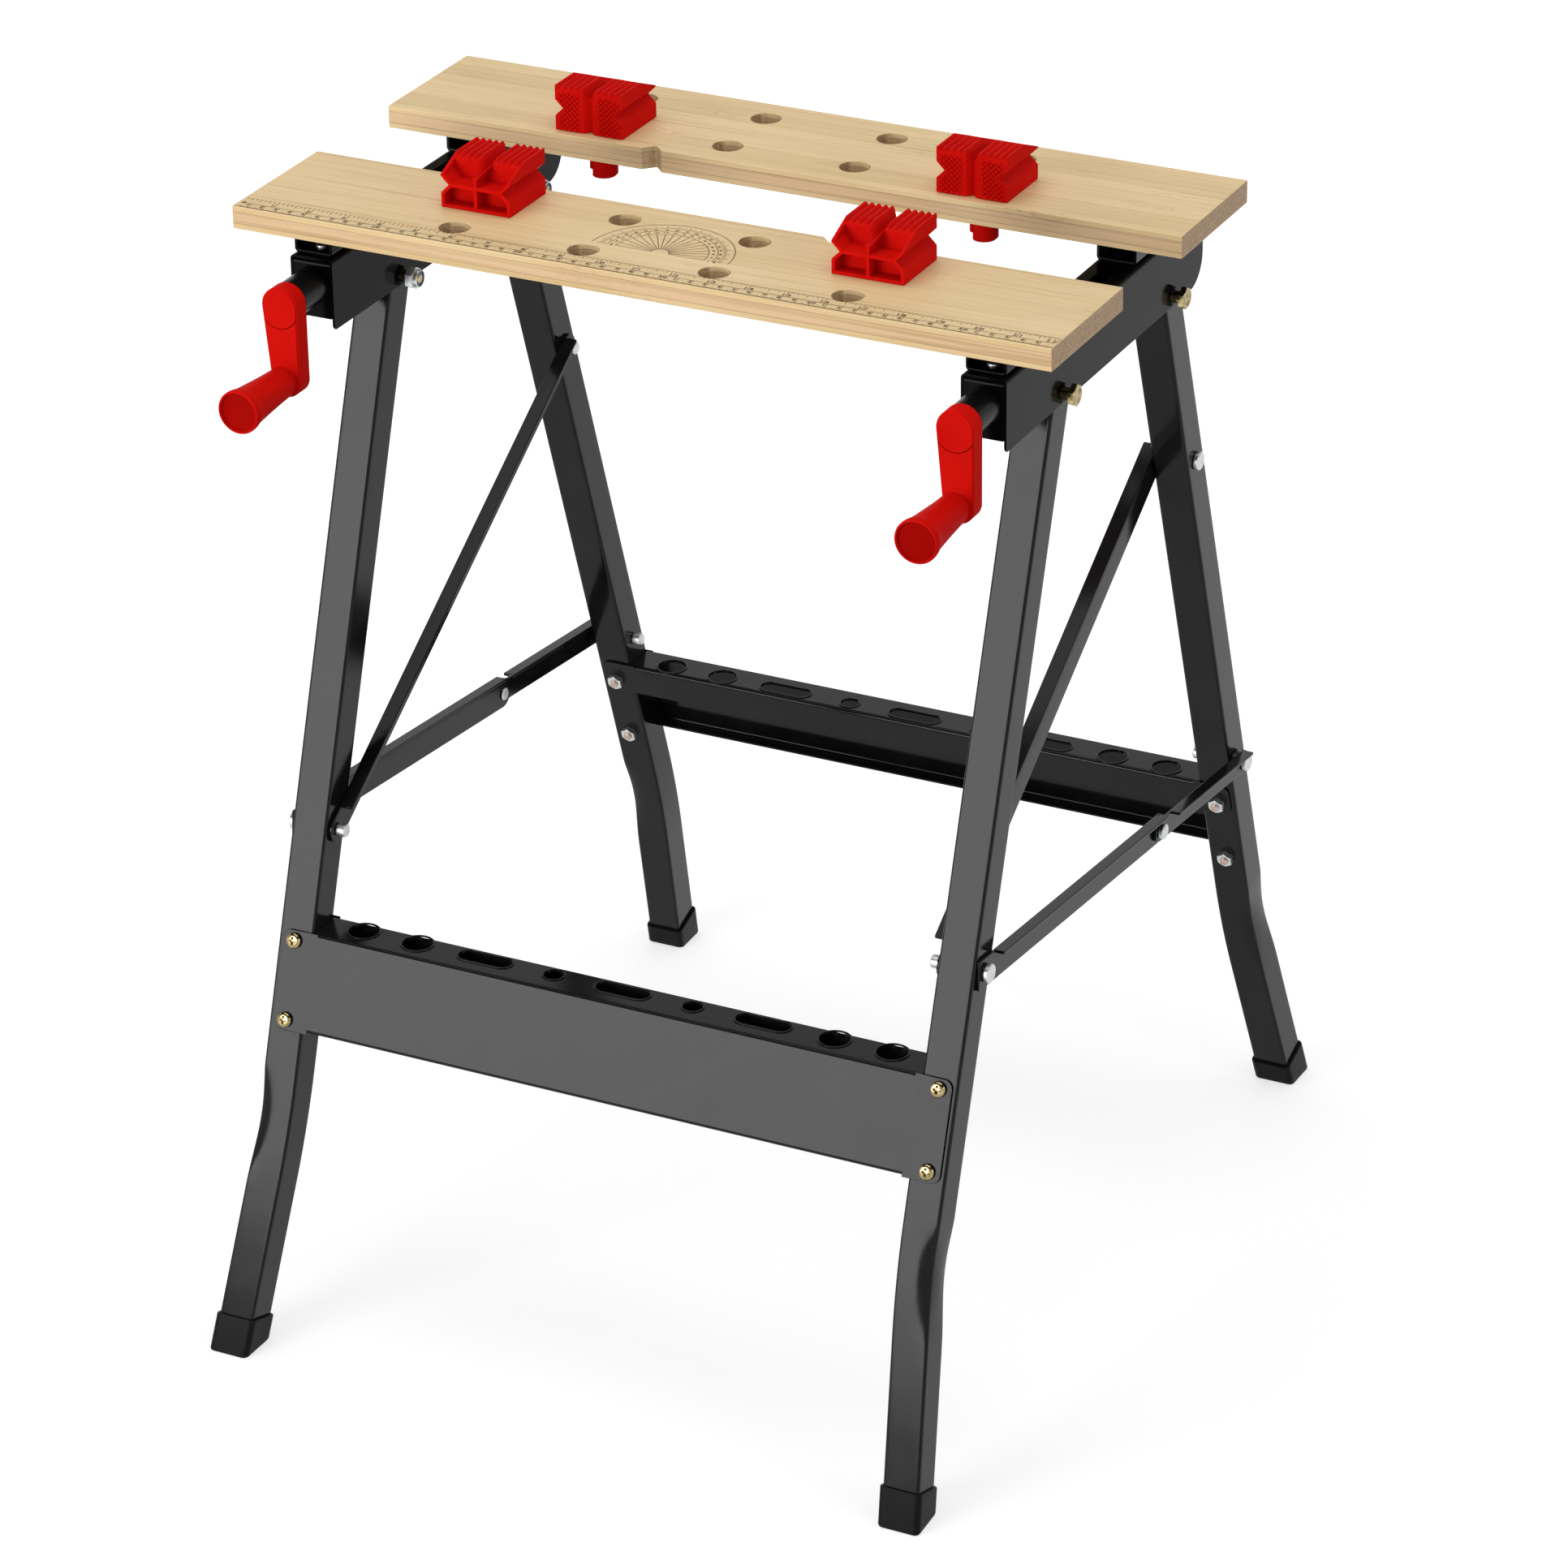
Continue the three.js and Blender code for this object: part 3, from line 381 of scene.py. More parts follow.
def corner_arc(before, here, after, radius, steps):
    """The points that round one corner of a path, or the corner itself where it is straight."""
    before, here, after = Vector(before), Vector(here), Vector(after)
    back, onward = (before - here).normalized(), (after - here).normalized()
    half = back.angle(onward) / 2
    if radius == 0 or half > pi / 2 - STRAIGHT:
        return [here]
    centre = here + (back + onward).normalized() * radius / sin(half)
    start = here + back * radius / tan(half) - centre
    end = here + onward * radius / tan(half) - centre
    first = atan2(start.y, start.x)
    sweep = (atan2(end.y, end.x) - first + pi) % tau - pi
    return arc(centre, radius, first, first + sweep, steps)


def fillet(points, radius, steps=4):
    """A closed loop with its corners rounded, to one radius or to one for each corner."""
    count = len(points)
    radii = radius if isinstance(radius, list) else [radius] * count
    loop = []
    for k, here in enumerate(points):
        loop += corner_arc(points[k - 1], here, points[(k + 1) % count], radii[k], steps)
    return loop


def slot_loop(length, width, centre):
    reach, half = length / 2, width / 2
    corners = rectangle(centre[0] - reach, centre[0] + reach, centre[1] - half, centre[1] + half)
    return fillet(corners, half - SLOT_FLAT, 8)


def sheet_outline(points, thickness, radius):
    """The outline of a sheet bent along a line of points."""
    path = [Vector(points[0])]
    for before, here, after in zip(points, points[1:], points[2:]):
        path += corner_arc(before, here, after, radius, 6)
    path.append(Vector(points[-1]))
    left, right = [], []
    for k, here in enumerate(path):
        along = (path[min(k + 1, len(path) - 1)] - path[max(k - 1, 0)]).normalized()
        side = Vector((-along.y, along.x)) * thickness / 2
        left.append(here + side)
        right.append(here - side)
    return right + left[::-1]


def inset_loop(loop, inset):
    """A counterclockwise loop moved inwards all round."""
    loop = [Vector(p) for p in loop]
    moved = []
    for k, here in enumerate(loop):
        arriving = (here - loop[k - 1]).normalized()
        leaving = (loop[(k + 1) % len(loop)] - here).normalized()
        normal = Vector((-arriving.y - leaving.y, arriving.x + leaving.x)).normalized()
        lean = max(SHARPEST, normal.dot(Vector((-arriving.y, arriving.x))))
        moved.append(here + normal * (inset / lean))
    return moved


def raised(base, profile):
    return [(radius, base + height) for radius, height in profile]


def chamfered(radius, high, low, edge):
    """The profile of a disc, from its upper face to its lower one."""
    return [(radius - edge, high), (radius, high - edge), (radius, low + edge), (radius - edge, low)]


# Placing: a drawn outline (u, v) and its height w
def shift(x, y, z):
    return Matrix.Translation((x, y, z))


def turned(angle, axis="Z"):
    return Matrix.Rotation(angle, 4, axis)


def axes(u, v):
    across = Vector(u).cross(Vector(v))
    return Matrix((u, v, across)).transposed().to_4x4()


FLAT = Matrix.Identity(4)
ALONG_X = axes((0, 1, 0), (0, 0, 1))
TO_FRONT = axes((1, 0, 0), (0, 0, 1))
TO_REAR = axes((1, 0, 0), (0, 0, -1))


def on_rail(side, y=0, z=0):
    return shift(side * RAIL_X, y, z)


def outward(side, y, z, way=1):
    """Height w points away from the bench's middle on that side, or to it where way is -1."""
    return on_rail(side, y, z) @ axes((0, 1, 0), (0, 0, side * way))


# Mesh tools; with into they add to a mesh, and otherwise they start one
def add_band(bm, lower, upper):
    count = len(lower)
    for k in range(count):
        after = (k + 1) % count
        bm.faces.new((lower[k], lower[after], upper[after], upper[k]))


def plate(outline, low, high, place, bevel=0.3, steps=2, holes=(), into=None):
    """The outline less its holes, from height low to high, with rounded edges."""
    bm = into or bmesh.new()
    rounding = [(bevel * (1 - s), bevel * (1 - c)) for s, c in quarter(steps)]
    levels = [(inset, low + rise) for inset, rise in rounding]
    levels += [(inset, high - rise) for inset, rise in reversed(rounding)]
    bottom, top = [], []
    for k, loop in enumerate((outline, *holes)):
        sign = -1 if k else 1
        rows = []
        for inset, height in levels:
            ring = inset_loop(loop, sign * inset)
            rows.append([bm.verts.new(place @ Vector((p.x, p.y, height))) for p in ring])
        for lower, upper in zip(rows, rows[1:]):
            add_band(bm, lower, upper)
        bottom.append(rows[0])
        top.append(rows[-1])
    for rows in (bottom, top):
        verts = [vert for row in rows for vert in row]
        for triangle in tessellate_polygon([[vert.co for vert in row] for row in rows]):
            bm.faces.new([verts[k] for k in triangle])
    return bm


def lathe(profile, place, segments=40, into=None):
    """A turned body from (radius, height) pairs; a radius of 0 closes it."""
    bm = into or bmesh.new()
    rings = []
    for radius, height in profile:
        around = circle(radius, (0, 0), segments) if radius else [(0, 0)]
        rings.append([bm.verts.new(place @ Vector((x, y, height))) for x, y in around])
    for lower, upper in zip(rings, rings[1:]):
        for k in range(segments):
            after = (k + 1) % segments
            picked = [lower[k % len(lower)], lower[after % len(lower)]]
            picked += [upper[after % len(upper)], upper[k % len(upper)]]
            face = list(dict.fromkeys(picked))
            if len(face) > 2:
                bm.faces.new(face)
    return bm


def shank(place, low, high, radius, into=None, segments=28):
    return lathe([(0, low), (radius, low), (radius, high), (0, high)], place, segments, into)


def loft(rings, place=FLAT, into=None):
    bm = into or bmesh.new()
    rows = [[bm.verts.new(place @ Vector(p)) for p in ring] for ring in rings]
    for lower, upper in zip(rows, rows[1:]):
        add_band(bm, lower, upper)
    bm.faces.new(rows[0][::-1])
    bm.faces.new(rows[-1])
    return bm


def prism(corners, z0, z1, place=FLAT, into=None):
    return loft([[(x, y, z) for x, y in corners] for z in (z0, z1)], place, into)


# Shares of the crown's radius and of the dish's depth
DISH_STEPS = ((0.82, 0), (0.72, 0.45), (0.5, 0.85), (0.2, 1))


def hexagon(flats, low, high, place, dish=0, into=None):
    """A hexagon whose corners are turned down at its upper end, which may be dished."""
    crown = flats * HEX_CROWN
    sides, chamfer, top = [], [], []
    for k in range(HEX_SEGMENTS):
        angle = tau * k / HEX_SEGMENTS
        lean = (angle + pi / 6) % (pi / 3) - pi / 6
        radius = flats / 2 / cos(lean)
        x, y = cos(angle), sin(angle)
        sides.append((radius * x, radius * y, low))
        chamfer.append((radius * x, radius * y, high - (radius - crown) * tan(pi / 6)))
        top.append((crown * x, crown * y, high))
    rings = [sides, chamfer, top]
    for share, drop in DISH_STEPS if dish else ():
        rings.append([(x * share, y * share, high - dish * drop) for x, y, _ in top])
    return loft(rings, place, into)


def as_mesh(name, bm):
    mesh = bpy.data.meshes.new(name)
    bm.to_mesh(mesh)
    bm.free()
    return mesh


def link(name, data):
    obj = bpy.data.objects.new(name, data)
    bpy.context.scene.collection.objects.link(obj)
    return obj


def evaluated(obj):
    return obj.evaluated_get(bpy.context.evaluated_depsgraph_get())


def add_copy(bm, mesh, place):
    held = mesh.copy()
    held.transform(place)
    bm.from_mesh(held)
    bpy.data.meshes.remove(held)


def carve(*parts, into=None):
    """The first mesh less the others; all of them are used up."""
    objects = []
    for bm in parts:
        bmesh.ops.recalc_face_normals(bm, faces=bm.faces)
        objects.append(link("scratch", as_mesh("scratch", bm)))
    for cutter in objects[1:]:
        cut = objects[0].modifiers.new("cut", "BOOLEAN")
        cut.operation = "DIFFERENCE"
        cut.solver = "EXACT"
        cut.object = cutter
    shaped = evaluated(objects[0])
    result = into or bmesh.new()
    result.from_mesh(shaped.to_mesh())
    shaped.to_mesh_clear()
    for obj in objects:
        mesh = obj.data
        bpy.data.objects.remove(obj)
        bpy.data.meshes.remove(mesh)
    return result


def soften(bm, width, angle):
    """Rounds the edges that turn by more than an angle in degrees."""
    limit = radians(angle)
    edges = [e for e in bm.edges if len(e.link_faces) == 2 and e.calc_face_angle() > limit]
    rounding = {"segments": 2, "profile": 0.5, "affect": "EDGES", "clamp_overlap": True}
    bmesh.ops.bevel(bm, geom=edges, offset=width, **rounding)


WELD = 0.0005
SHARP = radians(35)


def piece(name, bm, look, body):
    bmesh.ops.remove_doubles(bm, verts=bm.verts, dist=WELD)
    bmesh.ops.recalc_face_normals(bm, faces=bm.faces)
    bm.transform(Matrix.Scale(MM, 4))
    for face in bm.faces:
        face.smooth = True
    for edge in bm.edges:
        if len(edge.link_faces) == 2:
            edge.smooth = edge.calc_face_angle(0) < SHARP
    obj = link(name, as_mesh(name, bm))
    obj.data.materials.append(LOOKS[look])
    obj.modifiers.new("normals", "WEIGHTED_NORMAL").keep_sharp = True
    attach(obj, body)
    return obj


def stand_in(node, bm, slot, look=None):
    """The finished form of a CAD node, which it replaces."""
    obj = piece(node + "_visual", bm, look or slot, BODY_OF[node])
    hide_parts(node)


# Materials
def node(tree, kind, inputs=(), **settings):
    made = tree.nodes.new("ShaderNode" + kind)
    for key, value in settings.items():
        setattr(made, key, value)
    for socket, value in dict(inputs).items():
        if isinstance(value, bpy.types.NodeSocket):
            tree.links.new(value, made.inputs[socket])
        else:
            made.inputs[socket].default_value = value
    return made


def noise(tree, vector, scale, detail=2.0):
    made = node(tree, "TexNoise", {"Vector": vector, "Scale": scale, "Detail": detail})
    return made.outputs["Fac"]


def maths(tree, operation, *values):
    return node(tree, "Math", dict(enumerate(values)), operation=operation).outputs[0]


def ramp(tree, factor, *stops):
    made = node(tree, "ValToRGB", {"Fac": factor})
    band = made.color_ramp.elements
    while len(band) < len(stops):
        band.new(1.0)
    for element, (position, colour) in zip(band, stops):
        element.position = position
        element.color = (*colour, 1.0)
    return made.outputs["Color"]


def mask(tree, factor, *levels):
    """A ramp of greys."""
    return ramp(tree, factor, *[(position, (level,) * 3) for position, level in levels])


def mix(tree, factor, first, second, mode="MIX"):
    sockets = {0: factor, 6: first, 7: second}
    return node(tree, "Mix", sockets, data_type="RGBA", blend_type=mode).outputs[2]


def map_range(tree, value, low, high, at_low, at_high):
    sockets = {"Value": value, 1: low, 2: high, 3: at_low, 4: at_high}
    return node(tree, "MapRange", sockets).outputs[0]


def new_material(name):
    material = bpy.data.materials.new(name)
    material.use_nodes = True
    return material, material.node_tree


def dress(tree, colour, roughness, height, strength, depth):
    inputs = tree.nodes["Principled BSDF"].inputs
    relief = node(tree, "Bump", {"Height": height, "Strength": strength, "Distance": depth})
    tree.links.new(colour, inputs["Base Color"])
    tree.links.new(roughness, inputs["Roughness"])
    tree.links.new(relief.outputs[0], inputs["Normal"])
    return inputs


def grained(name, dark, light, patch, rough, grain, depth, metallic=0.0, specular=0.5):
    """Colour and roughness that drift in patches, over a fine grain."""
    material, tree = new_material(name)
    place = node(tree, "TexCoord").outputs["Object"]
    drift = noise(tree, place, patch, 4.0)
    colour = ramp(tree, drift, (0.3, dark), (0.7, light))
    roughness = map_range(tree, drift, 0.3, 0.7, *rough)
    inputs = dress(tree, colour, roughness, noise(tree, place, grain), 1.0, depth)
    inputs["Metallic"].default_value = metallic
    inputs["Specular IOR Level"].default_value = specular
    return material


WHITE = (1.0, 1.0, 1.0)
STRIP_WIDTH = 0.0204
STRIP_WANDER = 0.16
STRIP_TONES = ((0.0, (0.68, 0.505, 0.266)), (0.5, (0.72, 0.537, 0.292)), (1.0, (0.755, 0.568, 0.318)))
FLECK_BROWN = (0.50, 0.32, 0.15, 1)
SEAM_BROWN = (0.40, 0.23, 0.095, 1)
CORE_BROWN = (0.62, 0.40, 0.25, 1)
GLUE_BROWN = (0.33, 0.18, 0.08, 1)


def bamboo(name):
    """Strips glued side by side along x, streaked between, in three plies."""
    material, tree = new_material(name)
    coordinates = node(tree, "TexCoord").outputs
    spot = node(tree, "SeparateXYZ", {0: coordinates["Object"]}).outputs
    facing = node(tree, "SeparateXYZ", {0: coordinates["Normal"]}).outputs

    def grain(x, y, z, detail=2.0):
        """Noise with its own scale along each axis."""
        stretched = node(tree, "Mapping", {"Vector": coordinates["Object"], "Scale": (x, y, z)})
        return noise(tree, stretched.outputs[0], 1.0, detail)

    def scaled(value, zero, factor):
        return maths(tree, "MULTIPLY", maths(tree, "SUBTRACT", value, zero), factor)

    wander = maths(tree, "MULTIPLY", grain(3, 40, 40), STRIP_WANDER)
    across = maths(tree, "ADD", maths(tree, "DIVIDE", spot["Y"], STRIP_WIDTH), wander)
    strip = {"W": maths(tree, "FLOOR", across)}
    tone = node(tree, "TexWhiteNoise", strip, noise_dimensions="1D").outputs["Value"]
    fibre = grain(7, 900, 420, 3.0)
    fibres = ramp(tree, fibre, (0.32, (0.86, 0.82, 0.74)), (0.5, WHITE), (0.72, (1.05, 1.04, 1.03)))
    clouds = ramp(tree, grain(9, 30, 30), (0.3, (0.9, 0.86, 0.8)), (0.6, WHITE))
    colour = mix(tree, 0.75, ramp(tree, tone, *STRIP_TONES), fibres, "MULTIPLY")
    colour = mix(tree, 0.6, colour, clouds, "MULTIPLY")

    joints = mask(tree, grain(16, 52, 52, 1.0), (0.62, 0), (0.7, 1))
    flecks = mask(tree, grain(170, 620, 620), (0.5, 0), (0.62, 1))
    flecks = mix(tree, 1.0, joints, flecks, "MULTIPLY")
    colour = mix(tree, maths(tree, "MULTIPLY", flecks, 0.5), colour, FLECK_BROWN)

    thread = grain(14, 500, 500, 3.0)
    seam = maths(tree, "ABSOLUTE", maths(tree, "SUBTRACT", maths(tree, "FRACT", across), 0.5))
    seam = maths(tree, "ADD", seam, scaled(thread, 0.5, 0.1))
    patchy = mask(tree, grain(11, 60, 60), (0.38, 0), (0.62, 1))
    streak = mix(tree, 1.0, mask(tree, seam, (0.455, 0), (0.5, 1)), patchy, "MULTIPLY")
    colour = mix(tree, maths(tree, "MULTIPLY", streak, 0.55), colour, SEAM_BROWN)

    height = scaled(spot["Z"], (BENCH_HEIGHT - JAW_THICKNESS) * MM, 1 / (JAW_THICKNESS * MM))
    height = maths(tree, "ADD", height, scaled(thread, 0.5, 0.07))
    ply = mask(tree, height, (0.24, 0), (0.27, 1), (0.73, 1), (0.76, 0))
    core = mix(tree, 0.9, mix(tree, 0.5, colour, CORE_BROWN), fibres, "MULTIPLY")
    colour = mix(tree, ply, colour, core)
    glue = mask(tree, height, (0.225, 0), (0.25, 0.8), (0.275, 0), (0.725, 0), (0.75, 0.8), (0.775, 0))
    colour = mix(tree, glue, colour, GLUE_BROWN)
    ends = mask(tree, maths(tree, "ABSOLUTE", facing["X"]), (0.6, 0), (0.8, 0.85))
    pores = ramp(tree, grain(40, 600, 600, 3.0), (0.35, (0.24, 0.15, 0.075)), (0.65, (0.43, 0.28, 0.15)))
    colour = mix(tree, ends, colour, pores)
    inputs = dress(tree, colour, map_range(tree, fibre, 0.3, 0.7, 0.52, 0.4), fibre, 0.5, 0.00006)
    inputs["Specular IOR Level"].default_value = 0.25
    return material


# Colours, patches, roughness from and to, grain and its depth, then how metallic and how specular
BLACK = ((0.004, 0.004, 0.0045), (0.007, 0.007, 0.0075))
# Painted shade: a darker, less specular black than BLACK, standing in for the shade on the rails, end
# brackets and jaw seats.
PAINTED_SHADE_BLACK = ((0.0015, 0.0015, 0.0018), (0.003, 0.003, 0.0033))
SPINDLE_BLACK = ((0.003, 0.003, 0.0035), (0.007, 0.007, 0.0075))
RED = ((0.52, 0.0034, 0.002), (0.58, 0.006, 0.0032))
# Painted shade: a darker copy of the red plastic, standing in for the shade on the grip's end face.
PAINTED_SHADE_RED = ((0.32, 0.0015, 0.0008), (0.36, 0.0025, 0.0012))
YELLOW = ((0.15, 0.11, 0.045), (0.50, 0.40, 0.21))
SILVER = ((0.50, 0.52, 0.52), (0.64, 0.66, 0.66))
COPPER = ((0.40, 0.27, 0.22), (0.56, 0.43, 0.37))
INK = ((0.012, 0.007, 0.004), (0.03, 0.018, 0.01))
BLUE = ((0.012, 0.03, 0.11), (0.02, 0.045, 0.15))
FINISHES = {
    "black_steel": (*BLACK, 25, (0.11, 0.17), 1300, 0.000012, 0.0, 0.15),
    # Painted shade: the darker black of the rails, end brackets and jaw seats, which stands in for shade
    # rather than for another paint.
    "painted_shade_black": (*PAINTED_SHADE_BLACK, 30, (0.1, 0.15), 1300, 0.00001, 0.0, 0.05),
    "spindle_steel": (*SPINDLE_BLACK, 60, (0.2, 0.3), 2500, 0.00001, 0.0, 0.1),
    "red_plastic": (*RED, 30, (0.45, 0.55), 2600, 0.00002, 0.0, 0.012),
    # Painted shade: the darker red of the grip's end plug.
    "painted_shade_red": (*PAINTED_SHADE_RED, 30, (0.45, 0.55), 2600, 0.00002, 0.0, 0.012),
    "yellow_zinc": (*YELLOW, 300, (0.10, 0.2), 3000, 0.00001, 1.0),
    "rivet_zinc": (*SILVER, 200, (0.32, 0.42), 3000, 0.00001, 1.0),
    "copper_zinc": (*COPPER, 300, (0.3, 0.4), 3000, 0.00001, 1.0),
    "black_rubber": (*BLACK, 40, (0.34, 0.44), 1200, 0.00003, 0.0, 0.07),
    "ink": (*INK, 260, (0.5, 0.62), 2400, 0.00001, 0.0, 0.1),
    "nylon": (*BLUE, 90, (0.35, 0.45), 1800, 0.00001),
}
LOOKS = {name: grained(name, *finish) for name, finish in FINISHES.items()}
LOOKS["bamboo"] = bamboo("bamboo")


# Boards with their dog holes and notch
def jaw(name, middle_y, turn):
    half, inner = JAW_LENGTH / 2, JAW_WIDTH / 2
    corners = [
        (-half, -inner),
        (half, -inner),
        (half, inner),
        (NOTCH_OFFSET + NOTCH_DEPTH, inner),
        (NOTCH_OFFSET, inner - NOTCH_DEPTH),
        (NOTCH_OFFSET - NOTCH_DEPTH, inner),
        (-half, inner),
    ]
    row = inner - HOLE_INSET
    columns = [(k - 1.5) * HOLE_SPACING for k in range(4)]
    holes = [circle(HOLE_DIAMETER / 2, (x, y), 48) for x in columns for y in (-row, row)]
    place = shift(0, middle_y, BENCH_HEIGHT - JAW_THICKNESS) @ turned(turn)
    bm = plate(fillet(corners, JAW_CORNER, 3), 0, JAW_THICKNESS, place, JAW_EDGE, 3, holes)
    stand_in(name, bm, "bamboo")


jaw("front_jaw", JAW_FRONT + JAW_WIDTH / 2, 0)
jaw("rear_jaw", REAR_JAW_FRONT + JAW_WIDTH / 2, pi)


# Printed marks on the front board
def glyph(text):
    """A digit as a thin mesh, one unit high, centred."""
    curve = bpy.data.curves.new("glyph", "FONT")
    curve.body = text
    curve.extrude = (PRINT_TOP - PRINT_BASE) / 2
    curve.resolution_u = 4
    curve.offset = DIGIT_WEIGHT
    curve.align_x = "CENTER"
    curve.align_y = "CENTER"
    obj = link("glyph", curve)
    mesh = bpy.data.meshes.new_from_object(evaluated(obj))
    bpy.data.objects.remove(obj)
    bpy.data.curves.remove(curve)
    return mesh


DIGITS = {text: glyph(text) for text in "0123456789"}


def add_digit(bm, text, x, y, size, turn=0, wide=1):
    place = shift(x, y, PRINT_MIDDLE) @ turned(turn) @ Matrix.Diagonal((size * wide, size, 1, 1))
    add_copy(bm, DIGITS[text], place)


def add_stroke(bm, x, half, y0, y1):
    prism(rectangle(x - half, x + half, y0, y1), PRINT_BASE, PRINT_TOP, into=bm)


def add_label(bm, number, x, y, size):
    """One digit left of its tick, or two with the tick between them."""
    reach = size * DIGIT_REACH
    if x + 2 * reach > JAW_LENGTH / 2:
        x -= 2 * reach
    for digit, sign in zip(str(number), (-1, 1)):
        add_digit(bm, digit, x + sign * reach, y, size, 0, DIGIT_STRETCH)


def ruler():
    bm = bmesh.new()
    half = JAW_LENGTH / 2
    for step in range(1, LAST_INCH * INCH_PARTS + 1):
        whole = max(size for size in INCH_TICKS if step % size == 0)
        if whole > 1 or step >= COARSE_INCHES * INCH_PARTS:
            x = step * INCH / INCH_PARTS - half
            add_stroke(bm, x, RULER_LINE, RULER_TOP - INCH_TICKS[whole], RULER_TOP)
    drop, size = INCH_LABEL
    for inch in range(1, LAST_INCH + 1):
        add_label(bm, inch, inch * INCH - half, RULER_TOP - drop, size)
    add_stroke(bm, 0, half - 2, RULER_MIDDLE - RULER_MIDDLE_LINE, RULER_MIDDLE)
    add_stroke(bm, 0, half - 1, RULER_BOTTOM, RULER_BOTTOM + RULER_BOTTOM_LINE)
    for millimetre in range(5, JAW_LENGTH):
        x = millimetre - half
        if millimetre % 10 == 0:
            add_stroke(bm, x, RULER_LINE, RULER_BOTTOM, RULER_MIDDLE)
        else:
            tall = MILLIMETRE_TICK if millimetre % 5 else FIFTH_TICK
            add_stroke(bm, x, MILLIMETRE_LINE, RULER_BOTTOM, RULER_BOTTOM + tall)
    rise, size = CENTIMETRE_LABEL
    for centimetre in range(1, JAW_LENGTH // 10):
        number = centimetre % 10 or centimetre
        add_label(bm, number, centimetre * 10 - half, RULER_BOTTOM + rise, size)
    inset, size = ZERO_LABEL
    add_digit(bm, "0", inset - half, RULER_MIDDLE, size, 0, DIGIT_STRETCH)
    piece("ruler_print", bm, "ink", "top_frame")


def add_arc(bm, centre, radius, width, steps=72):
    inner, outer = radius - width / 2, radius + width / 2
    section = rectangle(inner, outer, PRINT_BASE, PRINT_TOP)
    rings = []
    for angle in spread(0, pi, steps):
        x, y = cos(angle), sin(angle)
        rings.append([(centre[0] + r * x, centre[1] + r * y, z) for r, z in section])
    loft(rings, into=bm)


def protractor():
    bm = bmesh.new()
    for radius, width in PROTRACTOR_ARCS:
        add_arc(bm, PROTRACTOR, radius, width)

    def spoke(degrees, inner, outer, width):
        place = shift(*PROTRACTOR, 0) @ turned(radians(degrees))
        prism(rectangle(inner, outer, -width / 2, width / 2), PRINT_BASE, PRINT_TOP, place, bm)

    inner, short, long = PROTRACTOR_TICKS
    for degrees in range(0, 181, 2):
        spoke(degrees, inner, short if degrees % 10 else long, PROTRACTOR_TICK_LINE)
    for degrees in range(0, 181, 10):
        spoke(degrees, *PROTRACTOR_SPOKE)
        angle = radians(degrees)
        for radius, number in zip(PROTRACTOR_ROWS, (degrees, 180 - degrees)):
            text = str(number)
            for k, digit in enumerate(text):
                slide = (k - (len(text) - 1) / 2) * PROTRACTOR_DIGIT_PITCH
                x = PROTRACTOR[0] + radius * cos(angle) + slide * sin(angle)
                y = PROTRACTOR[1] + radius * sin(angle) - slide * cos(angle)
                add_digit(bm, digit, x, y, PROTRACTOR_DIGIT, angle - pi / 2)
    piece("protractor_print", bm, "ink", "top_frame")


ruler()
protractor()


# Rails: channels with rounded shoulders, a small front corner and a round tail
def rail(side, name):
    half, inside = RAIL_WIDTH / 2, RAIL_WIDTH / 2 - RAIL_SHEET
    roof = RAIL_TOP - RAIL_SHEET
    corners = [
        (-half, RAIL_BOTTOM),
        (-inside, RAIL_BOTTOM),
        (-inside, roof),
        (inside, roof),
        (inside, RAIL_BOTTOM),
        (half, RAIL_BOTTOM),
        (half, RAIL_TOP),
        (-half, RAIL_TOP),
    ]
    edge, bend = [RAIL_EDGE] * 2, [RAIL_BEND - RAIL_SHEET] * 2
    section = fillet(corners, edge + bend + edge + [RAIL_BEND] * 2, 5)
    front, rear = [], []
    for s, c in quarter(8):
        front.append((RAIL_FRONT + RAIL_BEND * (1 - s), RAIL_BEND * (1 - c)))
        rear.append((RAIL_REAR - RAIL_TAIL_RADIUS * (1 - s), RAIL_TAIL_RADIUS * (1 - c)))
    rings = []
    for y, lift in front[::-1] + rear:
        rings.append([(x, y, z + lift if z < RAIL_BOTTOM + 1 else z) for x, z in section])
    loop = fillet(rectangle(*RAIL_SLOT), RAIL_SLOT_CORNER, 4)
    slot = plate(loop, RAIL_TOP - 3, RAIL_TOP + 3, on_rail(side), *CUTTER_EDGE)
    # The rail takes the painted-shade black, darker than black_steel to stand in for shade.
    stand_in(name, carve(loft(rings, on_rail(side)), slot), "black_steel", "painted_shade_black")


def end_bracket(side, name):
    half = RAIL_WIDTH / 2 - RAIL_SHEET - GAP
    top = RAIL_TOP - RAIL_SHEET - GAP
    middle = RAIL_FRONT + BRACKET_SHEET / 2
    line = [
        (RAIL_FRONT + BRACKET_FLANGE, top - BRACKET_SHEET / 2),
        (middle, top - BRACKET_SHEET / 2),
        (middle, top - BRACKET_HEIGHT),
    ]
    outline = sheet_outline(line, BRACKET_SHEET, BRACKET_BEND)
    bm = plate(outline, -half, half, on_rail(side) @ ALONG_X, BRACKET_EDGE)
    # The bracket takes the painted-shade black, darker than black_steel to stand in for the shade under the
    # board.
    stand_in(name, bm, "black_steel", "painted_shade_black")


def seat(side, front):
    base, half = RAIL_TOP + GAP, SEAT_WIDTH / 2
    outer = fillet(rectangle(-half, half, base, base + SEAT_HEIGHT), SEAT_CORNER, 5)
    half -= SEAT_WALL
    inner = rectangle(-half, half, base + SEAT_WALL, base + SEAT_HEIGHT - SEAT_WALL)
    hole = fillet(inner, SEAT_INNER_CORNER)
    place = on_rail(side) @ TO_FRONT
    return plate(outer, -front - SEAT_LENGTH, -front, place, SEAT_EDGE, holes=[hole])


